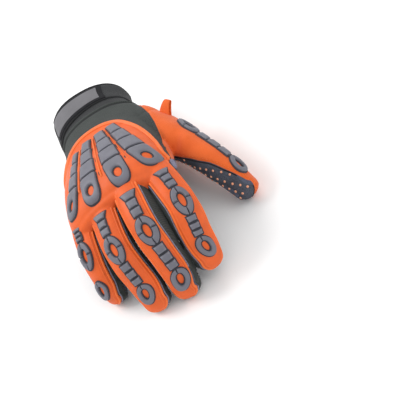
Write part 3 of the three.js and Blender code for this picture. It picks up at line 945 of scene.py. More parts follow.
    def sheet(self, panel: Panel, chosen: Array, normals: Array) -> Form:
        """Returns one piece as a sewn sheet with a rounded edge.

        Args:
            panel: The piece.
            chosen: Its triangles.
            normals: The skin's outward directions.

        Returns:
            The sheet's points and faces.
        """
        used, faces = np.unique(self.faces[chosen], return_inverse=True)
        faces = faces.reshape(-1, 3)
        points, out_to = self.points[used], normals[used]
        edges = faces[:, [0, 1, 1, 2, 2, 0]].reshape(-1, 2)
        _, first, count = np.unique(np.sort(edges, axis=1), axis=0, return_index=True, return_counts=True)
        rim = edges[first[count == 1]]
        gap = self._nearest(points, points[np.unique(rim)], panel.roll * 2)
        rise = 1 - np.exp(-((gap / panel.roll) ** self.edge_power))
        face_up = points + out_to * (panel.out * rise - self.edge_sunk * (1 - rise))[:, None]
        lining = points - out_to * panel.within
        lining[:, 2] = np.maximum(lining[:, 2], self.lining)
        n = len(points)
        walls = np.stack([rim[:, 1], rim[:, 0], rim[:, 0] + n, rim[:, 1] + n], axis=1)
        all_faces = [*faces.tolist(), *(faces[:, ::-1] + n).tolist(), *walls.tolist()]
        return np.concatenate([face_up, lining]), all_faces

    @staticmethod
    def _nearest(points: Array, rim: Array, limit: float) -> Array:
        """Returns how far each point lies from the rim.

        Args:
            points: The points.
            rim: The rim's points.
            limit: The largest distance that is told.

        Returns:
            A distance for each point.
        """
        tree = KDTree(len(rim))
        for i, spot in enumerate(rim.tolist()):
            tree.insert(spot, i)
        tree.balance()
        gaps = np.array([tree.find(point)[2] for point in points.tolist()])
        return np.minimum(gaps, limit)

    def line_at(self, name: str, level: float, where: Array) -> list[Array]:
        """Returns the lines on the skin where a measure has a level.

        Args:
            name: The measure.
            level: Its value on the line.
            where: The triangles to look in.

        Returns:
            Each line as its points in order.
        """
        values = self.fields[name] - level
        values = np.where(np.abs(values) < 1e-4, 1e-4, values)
        links: dict[tuple[int, int], list[tuple[int, int]]] = {}
        spots: dict[tuple[int, int], Array] = {}
        for lone, *others in self._crossed(values, where)[1]:
            ends = [(min(lone, other), max(lone, other)) for other in others]
            for low, high in ends:
                share = values[low] / (values[low] - values[high])
                spots[low, high] = self.points[low] * (1 - share) + self.points[high] * share
            links.setdefault(ends[0], []).append(ends[1])
            links.setdefault(ends[1], []).append(ends[0])
        lines: list[Array] = []
        left = set(links)
        for start in sorted(k for k in links if len(links[k]) == 1) + sorted(links):
            if start not in left:
                continue
            line, here = [spots[start]], start
            left.discard(start)
            while ahead := [k for k in links[here] if k in left]:
                here = ahead[0]
                left.discard(here)
                line.append(spots[here])
            lines.append(np.array(line))
        return lines


@dataclass(frozen=True)
class Pad:
    """A moulded pad on a surface.

    Attributes:
        start: Where it starts along the surface.
        end: Where it ends.
        half: Half widths at its start and end.
        sides: Points across it.
        edge: Height of its edge.
    """

    start: float
    end: float
    half: tuple[float, float]
    sides: int = 11
    edge: float = 0.3

    def grown(self, line: float, edge: float) -> Pad:
        """Returns the pad, larger by a line all round and with another edge."""
        half = (self.half[0] + line, self.half[1] + line)
        return replace(self, start=self.start - line, end=self.end + line, half=half, edge=edge)

    def form(self, over: SurfaceMap, top: float) -> Form:
        """Makes the pad, with rolled edges.

        Args:
            over: The surface that it stands on.
            top: Its height.

        Returns:
            Its points and faces.
        """
        length = self.end - self.start
        rows = max(9, int(abs(length) / 0.9) | 1)
        u = eased(self.sides)
        v = eased(rows) if rows < EASED_ROWS else np.linspace(-1, 1, rows)
        share = (v + 1) / 2
        rolled_u = (1 - np.abs(u) ** (4 + 1.3 * max(self.half))) ** 0.4
        rolled_v = (1 - np.abs(v) ** (4 + 0.8 * abs(length))) ** 0.4
        height = self.edge + (top - self.edge) * rolled_u[None] * rolled_v[:, None]
        across = (self.half[0] + (self.half[1] - self.half[0]) * share)[:, None] * u[None]
        along = (self.start + length * share)[:, None]
        return Mesh.sheet(over(across, along, height), over(across, along, np.full_like(height, SUNK)))


@dataclass(frozen=True)
class Ring:
    """An oval moulded ring on a surface.

    Attributes:
        centre: Its middle along the surface.
        outer: Half width and half length of its outside.
        inner: The same of its hole.
        notches: Angles of its notches in degrees.
        heel: How far its start runs on, and how square it is there.
        nose: How square its far end is.
        steps: Points round it.
        edge: Height of its edge.
    """

    centre: float
    outer: tuple[float, float]
    inner: tuple[float, float]
    notches: tuple[float, ...] = ()
    heel: tuple[float, float] = (0, 2)
    nose: float = 2.0
    steps: int = 56
    edge: float = 0.2

    def grown(self, line: float, edge: float) -> Ring:
        """Returns the ring without notches, larger by a line all round and with another edge."""
        outer = (self.outer[0] + line, self.outer[1] + line)
        inner = (self.inner[0] - line, self.inner[1] - line)
        return replace(self, outer=outer, inner=inner, notches=(), edge=edge)

    def form(self, over: SurfaceMap, top: float) -> Form:
        """Makes the ring, with a rolled rim and notches across it.

        Args:
            over: The surface that it stands on.
            top: Its height.

        Returns:
            Its points and faces.
        """
        angles = np.arange(self.steps) * 2 * np.pi / self.steps
        profile = eased(11)
        rolled = (1 - np.abs(profile) ** 7) ** 0.4
        depth = np.zeros(self.steps)
        for notch in self.notches:
            turn = (angles - np.radians(notch) + np.pi) % (2 * np.pi) - np.pi
            depth = np.maximum(depth, np.exp(-((turn / 0.075) ** 4)))
        share = ((profile + 1) / 2)[None]
        c, s = np.cos(angles)[:, None], np.sin(angles)[:, None]
        power = np.where(s < 0, 2 / self.heel[1], 2 / self.nose)
        reach = np.where(s < 0, self.outer[1] + self.heel[0], self.outer[1])
        rim = (self.outer[0] * np.sign(c) * np.abs(c) ** power, reach * np.sign(s) * np.abs(s) ** power)
        hole = (self.inner[0] * c, self.inner[1] * s)
        height = self.edge + (top - self.edge) * rolled[None] * (1 - 0.62 * depth[:, None])
        across = hole[0] + (rim[0] - hole[0]) * share
        along = self.centre + hole[1] + (rim[1] - hole[1]) * share
        sunk = over(across[:, [-1, 0]], along[:, [-1, 0]], np.full((self.steps, 2), SUNK))
        return Mesh.rings(np.concatenate([over(across, along, height), sunk], axis=1), closed=True)


def bead(over: SurfaceMap, line: Array, half: float, top: float) -> Form:
    """Returns a rounded line on a surface.

    Args:
        over: The surface.
        line: The line's places across and along.
        half: Half its width.
        top: Its height.

    Returns:
        The line's points and faces.
    """
    edge = -0.3
    u = np.linspace(-1, 1, 7)
    side = unit(np.gradient(line, axis=0))[:, None, ::-1] * (1, -1)
    across, along = np.moveaxis(line[:, None] + side * half * u[None, :, None], -1, 0)
    order = np.arange(len(line))
    fade = np.minimum(1, np.minimum(order, order[::-1]) / 2.0) ** 0.5
    height = edge + (top - edge) * np.sqrt(1 - 0.98 * u**2)[None] * fade[:, None]
    return Mesh.sheet(over(across, along, height), over(across, along, np.full_like(height, edge - 0.4)))


@dataclass
class Moulding:
    """Grey rubber pads and rings, each with a dark foot that shows round it as a painted shadow line.

    Attributes:
        over: The surface that they stand on.
        top: Height of the rubber.
        line: How far the dark foot shows.
        low: Height of the dark foot.
        roll: How much lower the foot's edge is.
        grey: The pads and rings.
        dark: Their feet and the dark sheets under them: painted shade round the rubber and in its grooves.
    """

    over: SurfaceMap
    top: float = 2.9
    line: float = 0.7
    low: float = 1.6
    roll: float = 0.3
    grey: list[Form] = field(default_factory=list)
    dark: list[Form] = field(default_factory=list)

    def add(self, shape: Pad | Ring) -> None:
        """Adds a pad or a ring, and its foot."""
        self.grey.append(shape.form(self.over, self.top))
        # The foot is a painted shadow line round the pad or ring.
        self.dark.append(shape.grown(self.line, self.low - self.roll).form(self.over, self.low))

    def web(self, shape: Pad, top: float) -> None:
        """Adds a dark sheet under several pads: painted shade that shows in the grooves between them."""
        self.dark.append(shape.form(self.over, top))

    def dress(self, dresser: Dresser, grey: str, dark: str, node: str) -> None:
        """Dresses the rubber under its two names, where it stands for one node."""
        dresser.add(grey, Mesh.join(self.grey), Finish.GUARD, Slot.GUARD, (node,))
        dresser.add(dark, Mesh.join(self.dark), Finish.LINK, Slot.GUARD)


class Shade:
    """One material's nodes, with arithmetic on their sockets."""

    def __init__(self, name: str) -> None:
        """Starts a material with a plain shader."""
        self.material = bpy.data.materials.new(name)
        self.material.use_nodes = True
        self.nodes = self.material.node_tree.nodes
        self.links = self.material.node_tree.links
        self.shader = next(n for n in self.nodes if n.type == "BSDF_PRINCIPLED")

    def node(self, kind: str, settings: dict[str, object],
             sockets: dict[str | int, object]) -> bpy.types.Node:
        """Adds a node.

        Args:
            kind: Its type.
            settings: Its settings, made first.
            sockets: Values or sockets for its inputs, by name or number.

        Returns:
            The node.
        """
        node = self.nodes.new(kind)
        for key, value in settings.items():
            setattr(node, key, value)
        for key, value in sockets.items():
            self._feed(node.inputs[key], value)
        return node

    def _feed(self, wanted: bpy.types.NodeSocket, value: object) -> None:
        """Sets an input to a number or a colour, or links a value to it."""
        if isinstance(value, Value):
            self.links.new(value.socket, wanted)
        else:
            wanted.default_value = value

    def surface(self, colour: Value, rough: Value, specular: float) -> None:
        """Feeds the shader's colour and roughness, and sets how much it mirrors."""
        for name, value in (("Base Color", colour), ("Roughness", rough), ("Specular IOR Level", specular)):
            self._feed(self.shader.inputs[name], value)

    def sheen(self, weight: float) -> None:
        """Sets the soft sheen of cloth."""
        self._feed(self.shader.inputs["Sheen Weight"], weight)

    def place(self) -> Value:
        """Returns the place on the object, in metres."""
        return Value(self, self.node("ShaderNodeTexCoord", {}, {}).outputs["Object"])

    def noise(self, scale: float, detail: float = 3, rough: float = 0.55) -> Value:
        """Returns a noise from 0 to 1."""
        sockets = {"Vector": self.place(), "Scale": scale, "Detail": detail, "Roughness": rough}
        return Value(self, self.node("ShaderNodeTexNoise", {}, sockets).outputs["Fac"])

    def cells(self, scale: float) -> Value:
        """Returns distances in a field of cells."""
        sockets = {"Vector": self.place(), "Scale": scale}
        return Value(self, self.node("ShaderNodeTexVoronoi", {"feature": "F1"}, sockets).outputs["Distance"])

    def mix(self, share: Value, low: object, high: object) -> Value:
        """Returns a colour between two."""
        node = self.node("ShaderNodeMix", {"data_type": "RGBA"}, {0: share, 6: low, 7: high})
        return Value(self, node.outputs[2])

    def ramp(self, value: Value, low: float, high: float) -> Value:
        """Returns a smooth step from 0 at low to 1 at high."""
        settings = {"interpolation_type": "SMOOTHSTEP"}
        sockets = {"Value": value, "From Min": low, "From Max": high}
        return Value(self, self.node("ShaderNodeMapRange", settings, sockets).outputs[0])

    def axes(self) -> tuple[Value, ...]:
        """Returns the place's three parts."""
        node = self.node("ShaderNodeSeparateXYZ", {}, {0: self.place()})
        return tuple(Value(self, socket) for socket in node.outputs)

    def bump(self, height: Value, strength: float, distance: float) -> None:
        """Feeds a bump to the shader's normal."""
        sockets = {"Height": height, "Strength": strength, "Distance": distance}
        self.links.new(self.node("ShaderNodeBump", {}, sockets).outputs[0], self.shader.inputs["Normal"])

    def hollow(self) -> Value:
        """Returns how pointed the surface is: under a half in hollows and over a half on edges."""
        return Value(self, self.node("ShaderNodeNewGeometry", {}, {}).outputs["Pointiness"])


class Value:
    """A socket that arithmetic works on."""

    def __init__(self, shade: Shade, socket: bpy.types.NodeSocket) -> None:
        """Keeps the socket and its material."""
        self.shade = shade
        self.socket = socket

    def math(self, operation: str, *others: object) -> Value:
        """Returns a math node's result with this as its first input."""
        sockets = dict(enumerate((self, *others)))
        node = self.shade.node("ShaderNodeMath", {"operation": operation}, sockets)
        return Value(self.shade, node.outputs[0])

    def __add__(self, other: object) -> Value:
        """Adds."""
        return self.math("ADD", other)

    __radd__ = __add__

    def __mul__(self, other: object) -> Value:
        """Multiplies."""
        return self.math("MULTIPLY", other)

    __rmul__ = __mul__

    def __sub__(self, other: object) -> Value:
        """Subtracts."""
        return self.math("SUBTRACT", other)

    def __rsub__(self, other: object) -> Value:
        """Subtracts from a number."""
        return (self * -1.0) + other

    def sine(self) -> Value:
        """Returns the sine."""
        return self.math("SINE")


def rgb(code: str, gain: float = 1.0) -> tuple[float, float, float, float]:
    """Returns a screen colour as linear light."""
    parts = np.array([int(code[i:i + 2], 16) for i in (0, 2, 4)]) / 255
    linear = np.where(parts <= 0.04045, parts / 12.92, ((parts + 0.055) / 1.055) ** 2.4) * gain
    return (*map(float, linear), 1.0)


@dataclass(frozen=True)
class Moulded:
    """Soft moulded rubber: fine grain, painted shade in its hollows and a painted highlight on its edges."""

    name: str
    colour: str
    shadow: str
    edge: str
    rough: float = 0.5
    grain: float = 1500
    bump: float = 0.35

    def material(self) -> bpy.types.Material:
        """Returns the material."""
        shade = Shade(self.name)
        cloud = shade.noise(95, 4)
        colour = shade.mix(shade.ramp(cloud, 0.3, 0.75), rgb(self.colour), rgb(self.colour, 0.86))
        hollow = shade.hollow()
        # Painted shade: hollows are darkened towards the shadow colour.
        colour = shade.mix(shade.ramp(hollow, 0.5, 0.42), colour, rgb(self.shadow))
        # Painted highlight: sharp edges are lightened towards the edge colour.
        colour = shade.mix(shade.ramp(hollow, 0.53, 0.62) * 0.6, colour, rgb(self.edge))
        shade.surface(colour, self.rough + 0.16 * shade.noise(420), 0.42)
        shade.bump(shade.noise(self.grain) + 0.6 * shade.noise(260, 2), self.bump, 0.00016)
        return shade.material


@dataclass(frozen=True)
class Leather:
    """Matt microfibre leather: fine pebbles, paler where it is rubbed."""

    name: str
    colour: str
    worn: str
    pebble: float = 900

    def material(self) -> bpy.types.Material:
        """Returns the material."""
        shade = Shade(self.name)
        cloud = shade.noise(70, 5, 0.6)
        pebbles = shade.cells(self.pebble)
        colour = shade.mix(shade.ramp(cloud, 0.25, 0.8), rgb(self.colour), rgb(self.worn))
        colour = shade.mix(shade.ramp(pebbles, 0.35, 0.85) * 0.45, colour, rgb(self.colour, 0.55))
        # Painted shade: hollows are darkened.
        colour = shade.mix(shade.ramp(shade.hollow(), 0.5, 0.43) * 0.7, colour, rgb(self.colour, 0.45))
        shade.surface(colour, 0.72 + 0.14 * cloud, 0.3)
        shade.bump(0.7 * (1.0 - pebbles) + 0.5 * shade.noise(300, 4), 0.5, 0.00025)
        return shade.material


@dataclass(frozen=True)
class Knit:
    """Knitted or woven cloth: two thread directions that show in colour and relief."""

    name: str
    colour: str
    thread: str
    pitch: float = 0.9
    slant: float = 0.6
    relief: float = 0.7
    rough: float = 0.82
    sheen: float = 0.04

    def material(self) -> bpy.types.Material:
        """Returns the material."""
        shade = Shade(self.name)
        x, y, z = shade.axes()
        turn = 2 * np.pi / (self.pitch * MM)
        warp = (turn * (x + self.slant * z)).sine()
        weft = (turn * 0.8 * (y + 0.35 * z)).sine()
        weave = (warp * weft) * 0.5 + 0.5
        cloud = shade.noise(60, 4)
        colour = shade.mix(shade.ramp(weave, 0.1, 0.9), rgb(self.colour), rgb(self.thread))
        colour = shade.mix(shade.ramp(cloud, 0.35, 0.8) * 0.3, colour, rgb(self.colour, 0.7))
        # Painted shade: hollows are darkened.
        colour = shade.mix(shade.ramp(shade.hollow(), 0.5, 0.43) * 0.6, colour, rgb(self.colour, 0.4))
        shade.surface(colour, self.rough + 0.1 * (cloud - 0.5), 0.15)
        shade.sheen(self.sheen)
        shade.bump(weave + 0.6 * shade.noise(900, 2), self.relief, 0.0003)
        return shade.material


class Finish(Enum):
    """The glove's finishes."""

    ORANGE = Moulded("orange_rubber", "e6601f", "b43c0e", "f98040", 0.46)
    # A lighter copy of the orange rubber: a painted highlight on raised rims and ridges.
    RIM = Moulded("orange_bright", "f26c22", "c64e14", "fc8e4e", 0.4)
    STRETCH = Knit("orange_stretch", "da561f", "ee7636", 0.8, 0.5, 0.35, 0.74, 0.15)
    GUARD = Moulded("grey_rubber", "70707a", "36363e", "9c9ca6", 0.42, 1700, 0.3)
    # Dark rubber for the feet, sheets and slots: painted shade round and between the moulded parts.
    LINK = Moulded("dark_rubber", "33343c", "1c1c20", "50515b", 0.55, 1700, 0.3)
    LEATHER = Leather("leather", "40434d", "555965")
    PATCH = Leather("palm_patch", "4c5160", "61677a", 1200)
    KNIT = Knit("dark_knit", "3a3e3d", "4d514f", 1.0)
    ELASTIC = Knit("elastic", "343536", "454648", 0.7, 0.2)
    BINDING = Knit("binding", "17171a", "2a2a2e", 0.6)
    LABEL = Moulded("label_rubber", "6a696d", "444448", "89898d", 0.5, 1300, 0.4)
    THREAD = Knit("thread", "494d56", "626670", 0.35)
    THREAD_ORANGE = Knit("thread_orange", "e05a22", "ff8a50", 0.35)
    DOT = Moulded("dot_rubber", "f0a079", "d08058", "ffbd9a", 0.5)
    LILAC = Leather("web_patch", "83849a", "9a9bb0")


class Dresser:
    """Makes each piece with its finish, its body and the nodes that it stands for."""

    def __init__(self) -> None:
        """Makes every finish once."""
        self.count = 0
        self.materials = {finish: finish.value.material() for finish in Finish}

    def add(self, name: str, form: Form, finish: Finish, slot: Slot, nodes: Sequence[str] = (),
            sharp: float = 40.0) -> None:
        """Makes one piece, dresses it and reports it.

        Args:
            name: Its name.
            form: Its points and faces, in the pattern's millimetres.
            finish: Its finish.
            slot: The record's slot for its finish; not used.
            nodes: The frame's nodes that it stands for.
            sharp: Edges that bend more than this many degrees stay sharp.
        """
        piece = Mesh.make(name, *form, sharp)
        piece.data.materials.append(self.materials[finish])
        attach(piece, "root")
        if nodes:
            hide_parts(*nodes)
        self.count += 1
        LOG.info("%s: %d faces", name, len(piece.data.polygons))


@dataclass(frozen=True)
class Panel:
    """One sewn piece of the skin.

    Attributes:
        name: Its name.
        parts: The parts of the skin that it is cut from.
        finish: Its finish.
        slot: The record's slot.
        nodes: The frame's nodes that it stands for.
        out: How far it stands over the seams.
        within: How far its inside lies under the skin.
        roll: Over what distance from a seam it rises.
    """

    name: str
    parts: tuple[str, ...]
    finish: Finish
    slot: Slot
    nodes: tuple[str, ...] = ()
    out: float = 0.35
    within: float = 1.4
    roll: float = 1.0


def patch_panel(name: str, part: str) -> Panel:
    """Returns a raised leather patch."""
    return Panel(name, (part,), Finish.PATCH, Slot.LEATHER, (), 0.7, 1.2, 1.2)


PANELS = (
    Panel("wrist_cuff", ("cuff",), Finish.ELASTIC, Slot.KNIT, ("cuff",), 0.2),
    Panel("yoke_panel", ("yoke",), Finish.KNIT, Slot.KNIT, ("yoke",), 0.3),
    Panel("moulded_back", ("panel", *(f"{d.name}_strip" for d in FINGERS)), Finish.ORANGE,
          Slot.RUBBER_BACK, ("back_panel", *(f"{d.name}_back" for d in FINGERS)), 0.9, 1.4, 1.5),
    Panel("thumb_panel", ("thumb_back",), Finish.STRETCH, Slot.STRETCH, ("thumb_back",), 0.55, 1.4, 1.6),
    Panel("thumb_leather", ("thumb_front",), Finish.LEATHER, Slot.LEATHER, ("thumb_front",)),
    patch_panel("thumb_pad", "thumb_pad"),
    Panel("web_patch", ("crotch",), Finish.LILAC, Slot.LEATHER, (), 0.6, 1.2, 1.0),
    Panel("palm_leather", ("palm",), Finish.LEATHER, Slot.LEATHER, ("palm",)),
    patch_panel("palm_patch", "palm_pad"),
    patch_panel("heel_patch", "heel_pad"),
    *(Panel(f"{d.name}_leather", (f"{d.name}_front",), Finish.LEATHER, Slot.LEATHER, (f"{d.name}_front",))
      for d in FINGERS),
    *(Panel(f"{d.name}_gusset", (f"{d.name}_gusset",), Finish.KNIT, Slot.LEATHER, (), 0.25) for d in FINGERS),
    *(patch_panel(f"{d.name}_pad", f"{d.name}_pad") for d in FINGERS),
)
FOLDS = (
    Fold(((13.5, -101, 60), (22, -118, 55), (25, -134, 47), (26, -146, 34)), -2.6, 7.0),
    Fold(((24, -104, 57), (27, -120, 53), (28, -136, 45)), -1.6, 7.0),
    Fold(((36, 12, 44), (39, 0, 44), (43, -12, 42)), -4.6, 13.0),
    Fold(((58.6, -45.8, 46.6), (56, -53.7, 46.1), (53.2, -58.9, 43.4), (50.1, -62.1, 39)), 1.4, 4.0),
)


@dataclass(frozen=True)
class Run:
    """Lines on the skin where a measure has a level.

    Attributes:
        measure: The measure.
        level: Its value on the lines.
        part: The part of the skin that they lie in.
        least: Lines of no more points than this are left out.
    """

    measure: str
    level: float
    part: str
    least: int = 20

    @staticmethod
    def on_fingers(measure: str, level: float, part: str, least: int = 20) -> tuple[Run, ...]:
        """Returns the same lines on each finger."""
        return tuple(Run(f"{d.name}_{measure}", level, f"{d.name}_{part}", least) for d in FINGERS)


@dataclass(frozen=True)
class Trim:
    """Cords or stitches along lines of the skin.

    Attributes:
        name: The piece's name.
        finish: Its finish.
        slot: The record's slot.
        height: How high it lies over the skin.
        radius: The cord's radius, or None for stitches.
        runs: Its lines.
    """

    name: str
    finish: Finish
    slot: Slot
    height: float
    radius: float | None
    runs: tuple[Run, ...]


TRIMS = (
    # finger_rims and dome_rim use the lighter orange rubber, a painted highlight on raised rims.
    Trim("finger_rims", Finish.RIM, Slot.RUBBER_BACK, 0.5, 0.9, Run.on_fingers("back", 1.5, "strip")),
    Trim("finger_contours", Finish.ORANGE, Slot.RUBBER_BACK, 0.35, 0.75,
         Run.on_fingers("back", 4.0, "strip")),
    Trim("dome_rim", Finish.RIM, Slot.RUBBER_BACK, 0.35, 2.1, (Run("dome", 2.6, "panel", 40),)),
    Trim("finger_piping", Finish.LILAC, Slot.LEATHER, 0.2, 0.5, Run.on_fingers("back", -0.9, "gusset")),
    Trim("cuff_bead", Finish.KNIT, Slot.KNIT, 0.1, 1.3, (Run("cuff", 2.4, "cuff", 40),)),
    Trim("thumb_piping", Finish.BINDING, Slot.LEATHER, 0.2, 0.5, (Run("thumb_back", -1.0, "thumb_front"),)),
    Trim("thumb_stitches", Finish.THREAD_ORANGE, Slot.STRETCH, 0.55, None,
         (Run("thumb_back", 1.9, "thumb_back"), Run("thumb_side", 2.2, "thumb_back"))),
    Trim("dark_stitches", Finish.THREAD, Slot.KNIT, 0.45, None,
         (Run("dome", -1.9, "yoke"), Run("thumb_side", -1.9, "yoke"),
          *Run.on_fingers("low", -1.5, "gusset", 14),
          *(Run(name, 1.2, name, 14) for name in (*PALM_PATCHES, "thumb_pad")),
          *Run.on_fingers("pad", 1.2, "pad", 14))),
)


@dataclass
class Shell:
    """The sewn glove: its panels, piping, seams, stitches and grip dots.

    Attributes:
        folds: Creases in the skin.
        dot_pitch: Distance between grip dots.
        dot_radius: Radius of a grip dot.
        dot_field: Where the dots on the palm start and end, across and along.
        thumb_dots: Angles round the thumb between which its dots lie.
        dot_margin: How far from the thumb's seam its dots stop.
        facing: How much the skin has to face down where a dot lies.
        stitch_pitch: Distance between stitches.
        thread: Radius of the thread.
        sunk: How far the ends of a stitch go into the skin.
        skin: The skin that it is cut from.
        parts: Which of the skin's triangles belong to each part.
        tree: The skin as a search tree.
    """

    folds: tuple[Fold, ...] = FOLDS
    dot_pitch: float = 6.2
    dot_radius: float = 0.95
    dot_field: tuple[tuple[float, float], tuple[float, float]] = ((-56, 60), (-172, 6))
    thumb_dots: tuple[float, float] = (118, 318)
    dot_margin: float = 2.2
    facing: float = 0.35
    stitch_pitch: float = 3.1
    thread: float = 0.24
    sunk: float = 0.22
    skin: Skin = field(default_factory=Skin)
    parts: dict[str, Array] = field(default_factory=dict)
    tree: BVHTree = field(init=False)

    def build(self, dresser: Dresser) -> None:
        """Builds and dresses the whole shell."""
        self.skin.build(self.folds)
        self.parts = self.skin.cut_all()
        self.tree = BVHTree.FromPolygons(self.skin.points.tolist(), self.skin.faces.tolist())
        normals = self.skin.normals()
        for panel in PANELS:
            form = self.skin.sheet(panel, self._within(panel.parts), normals)
            dresser.add(panel.name, form, panel.finish, panel.slot, panel.nodes, 60)
        for trim in TRIMS:
            lines = [line for run in trim.runs for line in self._lines(run)]
            made = self._cords(lines, trim) if trim.radius else self._stitches(lines, trim.height)
            dresser.add(trim.name, made, trim.finish, trim.slot)
        dresser.add("grip_dots", self._dots(), Finish.DOT, Slot.LEATHER)

    def _within(self, parts: Sequence[str]) -> Array:
        """Returns which triangles lie in some parts of the skin."""
        return np.any([self.parts[part] for part in parts], axis=0)

    def _lines(self, run: Run) -> list[Array]:
        """Returns a run's lines."""
        lines = self.skin.line_at(run.measure, run.level, self.parts[run.part])
        return [line for line in lines if len(line) > run.least]

    def _lifted(self, line: Array, height: float) -> Array:
        """Returns a line at a height over the skin."""
        found = [self.tree.find_nearest(Vector(point)) for point in line]
        return np.array([np.array(spot) + np.array(normal) * height for spot, normal, _, _ in found])

    def _cords(self, lines: Sequence[Array], trim: Trim) -> Form:
        """Returns cords along lines."""
        lifted = [self._lifted(Mesh.evened(line, 1.2), trim.height) for line in lines]
        return Mesh.join(Mesh.tube(line, trim.radius) for line in lifted)

    def _stitches(self, lines: Sequence[Array], height: float) -> Form:
        """Returns short threads along lines.

        Args:
            lines: The lines.
            height: How high they lie over the skin.

        Returns:
            The threads' points and faces.
        """
        made = []
        for line in lines:
            even = self._lifted(Mesh.evened(line, self.stitch_pitch / 5, 5), height)
            for start in range(1, len(even) - 4, 5):
                thread = even[start:start + 4].copy()
                out = np.array(self.tree.find_nearest(Vector(thread[1]))[1])
                thread[[0, -1]] -= unit(out) * self.sunk
                made.append(Mesh.tube(thread, self.thread, 6, 0.6))
        return Mesh.join(made)

    def _dots(self) -> Form:
        """Returns the grip dots on the palm, the thumb and the fingers."""
        spots: list[tuple[Array, Array]] = []
        row = self.dot_pitch * 0.5 * np.sqrt(3)
        names = ["palm", "palm_pad", "heel_pad", "thumb_front", "thumb_pad"]
        leather = self._within(names + [f"{d.name}_{part}" for d in FINGERS for part in ("front", "pad")])
        (left, right), (first, last) = self.dot_field
        for j, y in enumerate(np.arange(first, last, row)):
            for x in np.arange(left, right, self.dot_pitch) + (j % 2) * self.dot_pitch / 2:
                spot, normal, index, _ = self.tree.ray_cast(Vector((x, y, -20)), Vector((0, 0, 1)))
                if spot is not None and leather[index] and normal.z < -self.facing:
                    spots.append((np.array(spot), np.array(normal)))
        inside = self.skin.mean("thumb_back") < -self.dot_margin
        front = self._within(("thumb_front", "thumb_pad")) & inside
        for j, along in enumerate(np.arange(THUMB.length_at(1.05), THUMB.length_at(4) + 6, row)):
            place = float(np.interp(along, *reversed(THUMB.lengths())))
            turn = np.degrees(self.dot_pitch / float(THUMB.read(place)[4][0]))
            for angle in np.arange(self.thumb_dots[0] + turn, self.thumb_dots[1], turn) + (j % 2) * turn / 2:
                point = THUMB.under(np.array([angle]), np.array([along]))[0]
                spot, normal, index, gap = self.tree.find_nearest(Vector(point))
                spot = np.array(spot)
                alone = all(np.linalg.norm(s - spot) >= 0.6 * self.dot_pitch for s, _ in spots)
                if front[index] and gap < 5 and alone:
                    spots.append((spot, np.array(normal)))
        return Mesh.join(self._dome(spot, normal) for spot, normal in spots)

    def _dome(self, spot: Array, normal: Array) -> Form:
        """Returns one grip dot.

        Args:
            spot: Where it stands.
            normal: The skin's outward direction there.

        Returns:
            The dot's points and faces.
        """
        across = unit(np.cross(normal, (0.31, 0.17, 0.93)))
        over = np.cross(normal, across)
        angles = np.arange(10) * 2 * np.pi / 10
        ring = np.cos(angles)[:, None] * across + np.sin(angles)[:, None] * over
        levels = ((1.0, -0.3), (1.0, 0.45), (0.8, 0.72), (0.4, 0.88))
        rings = [spot + ring * self.dot_radius * size + normal * rise for size, rise in levels]
        return Mesh.rings(np.array(rings))


@dataclass(frozen=True)
class Guard:
    """The moulded chain on one digit's back: pads and two rings, over a dark sheet that is painted shade in
    the grooves.

    Attributes:
        digit: The digit.
        pads: How many pads come before each ring.
        groove: Gap between two pads.
        flare: Share of the guard's width at the start of the first pad.
        narrow: Share of its width at the start of the other pads.
        waist: Share of its width at each pad's end.
        hole: Shares of a ring's half width and half length that its hole takes.
    """

    digit: DigitForm
    pads: int = 3
    groove: float = 1.3
    flare: float = 0.86
    narrow: float = 0.56
    waist: float = 0.5
    hole: tuple[float, float] = (0.46, 0.5)

    def _over(self, across: Array, along: Array, height: Array) -> Array:
        """Returns points over the digit's back from places across and along the guard."""
        return self.digit.over(across + self.digit.guard_shift, along, height)

    def build(self, dresser: Dresser) -> None:
        """Builds and dresses the chain."""
        digit, width = self.digit, self.digit.guard_width
        made = Moulding(self._over)
        start = digit.length_at(digit.guard_start)
        kinds = ((self.flare, 1, (0, 90, 180, 270)), (self.narrow, 0.94, (270,)))
        for place, reach, (first, share, notches) in zip(digit.rings, digit.reach, kinds):
            centre = digit.length_at(place)
            end = centre - reach
            length = (end - start - self.groove * self.pads) / self.pads
            if length > 2:
                for n in range(self.pads):
                    begin = start + n * (length + self.groove)
                    head = first if n == 0 else self.narrow
                    made.add(Pad(begin, begin + length, (head * width, self.waist * width)))
                # The dark sheet under the pads is painted shade in the grooves.
                made.web(Pad(start + 1, end + 1, (0.5 * width, 0.4 * width)), 1.5)
            wide = width * share
            made.add(Ring(centre, (wide, reach), (self.hole[0] * wide, self.hole[1] * reach), notches))
            start = end + 2 * reach + self.groove * 0.6
        made.dress(dresser, f"{digit.name}_chain", f"{digit.name}_web", f"{digit.name}_guard")


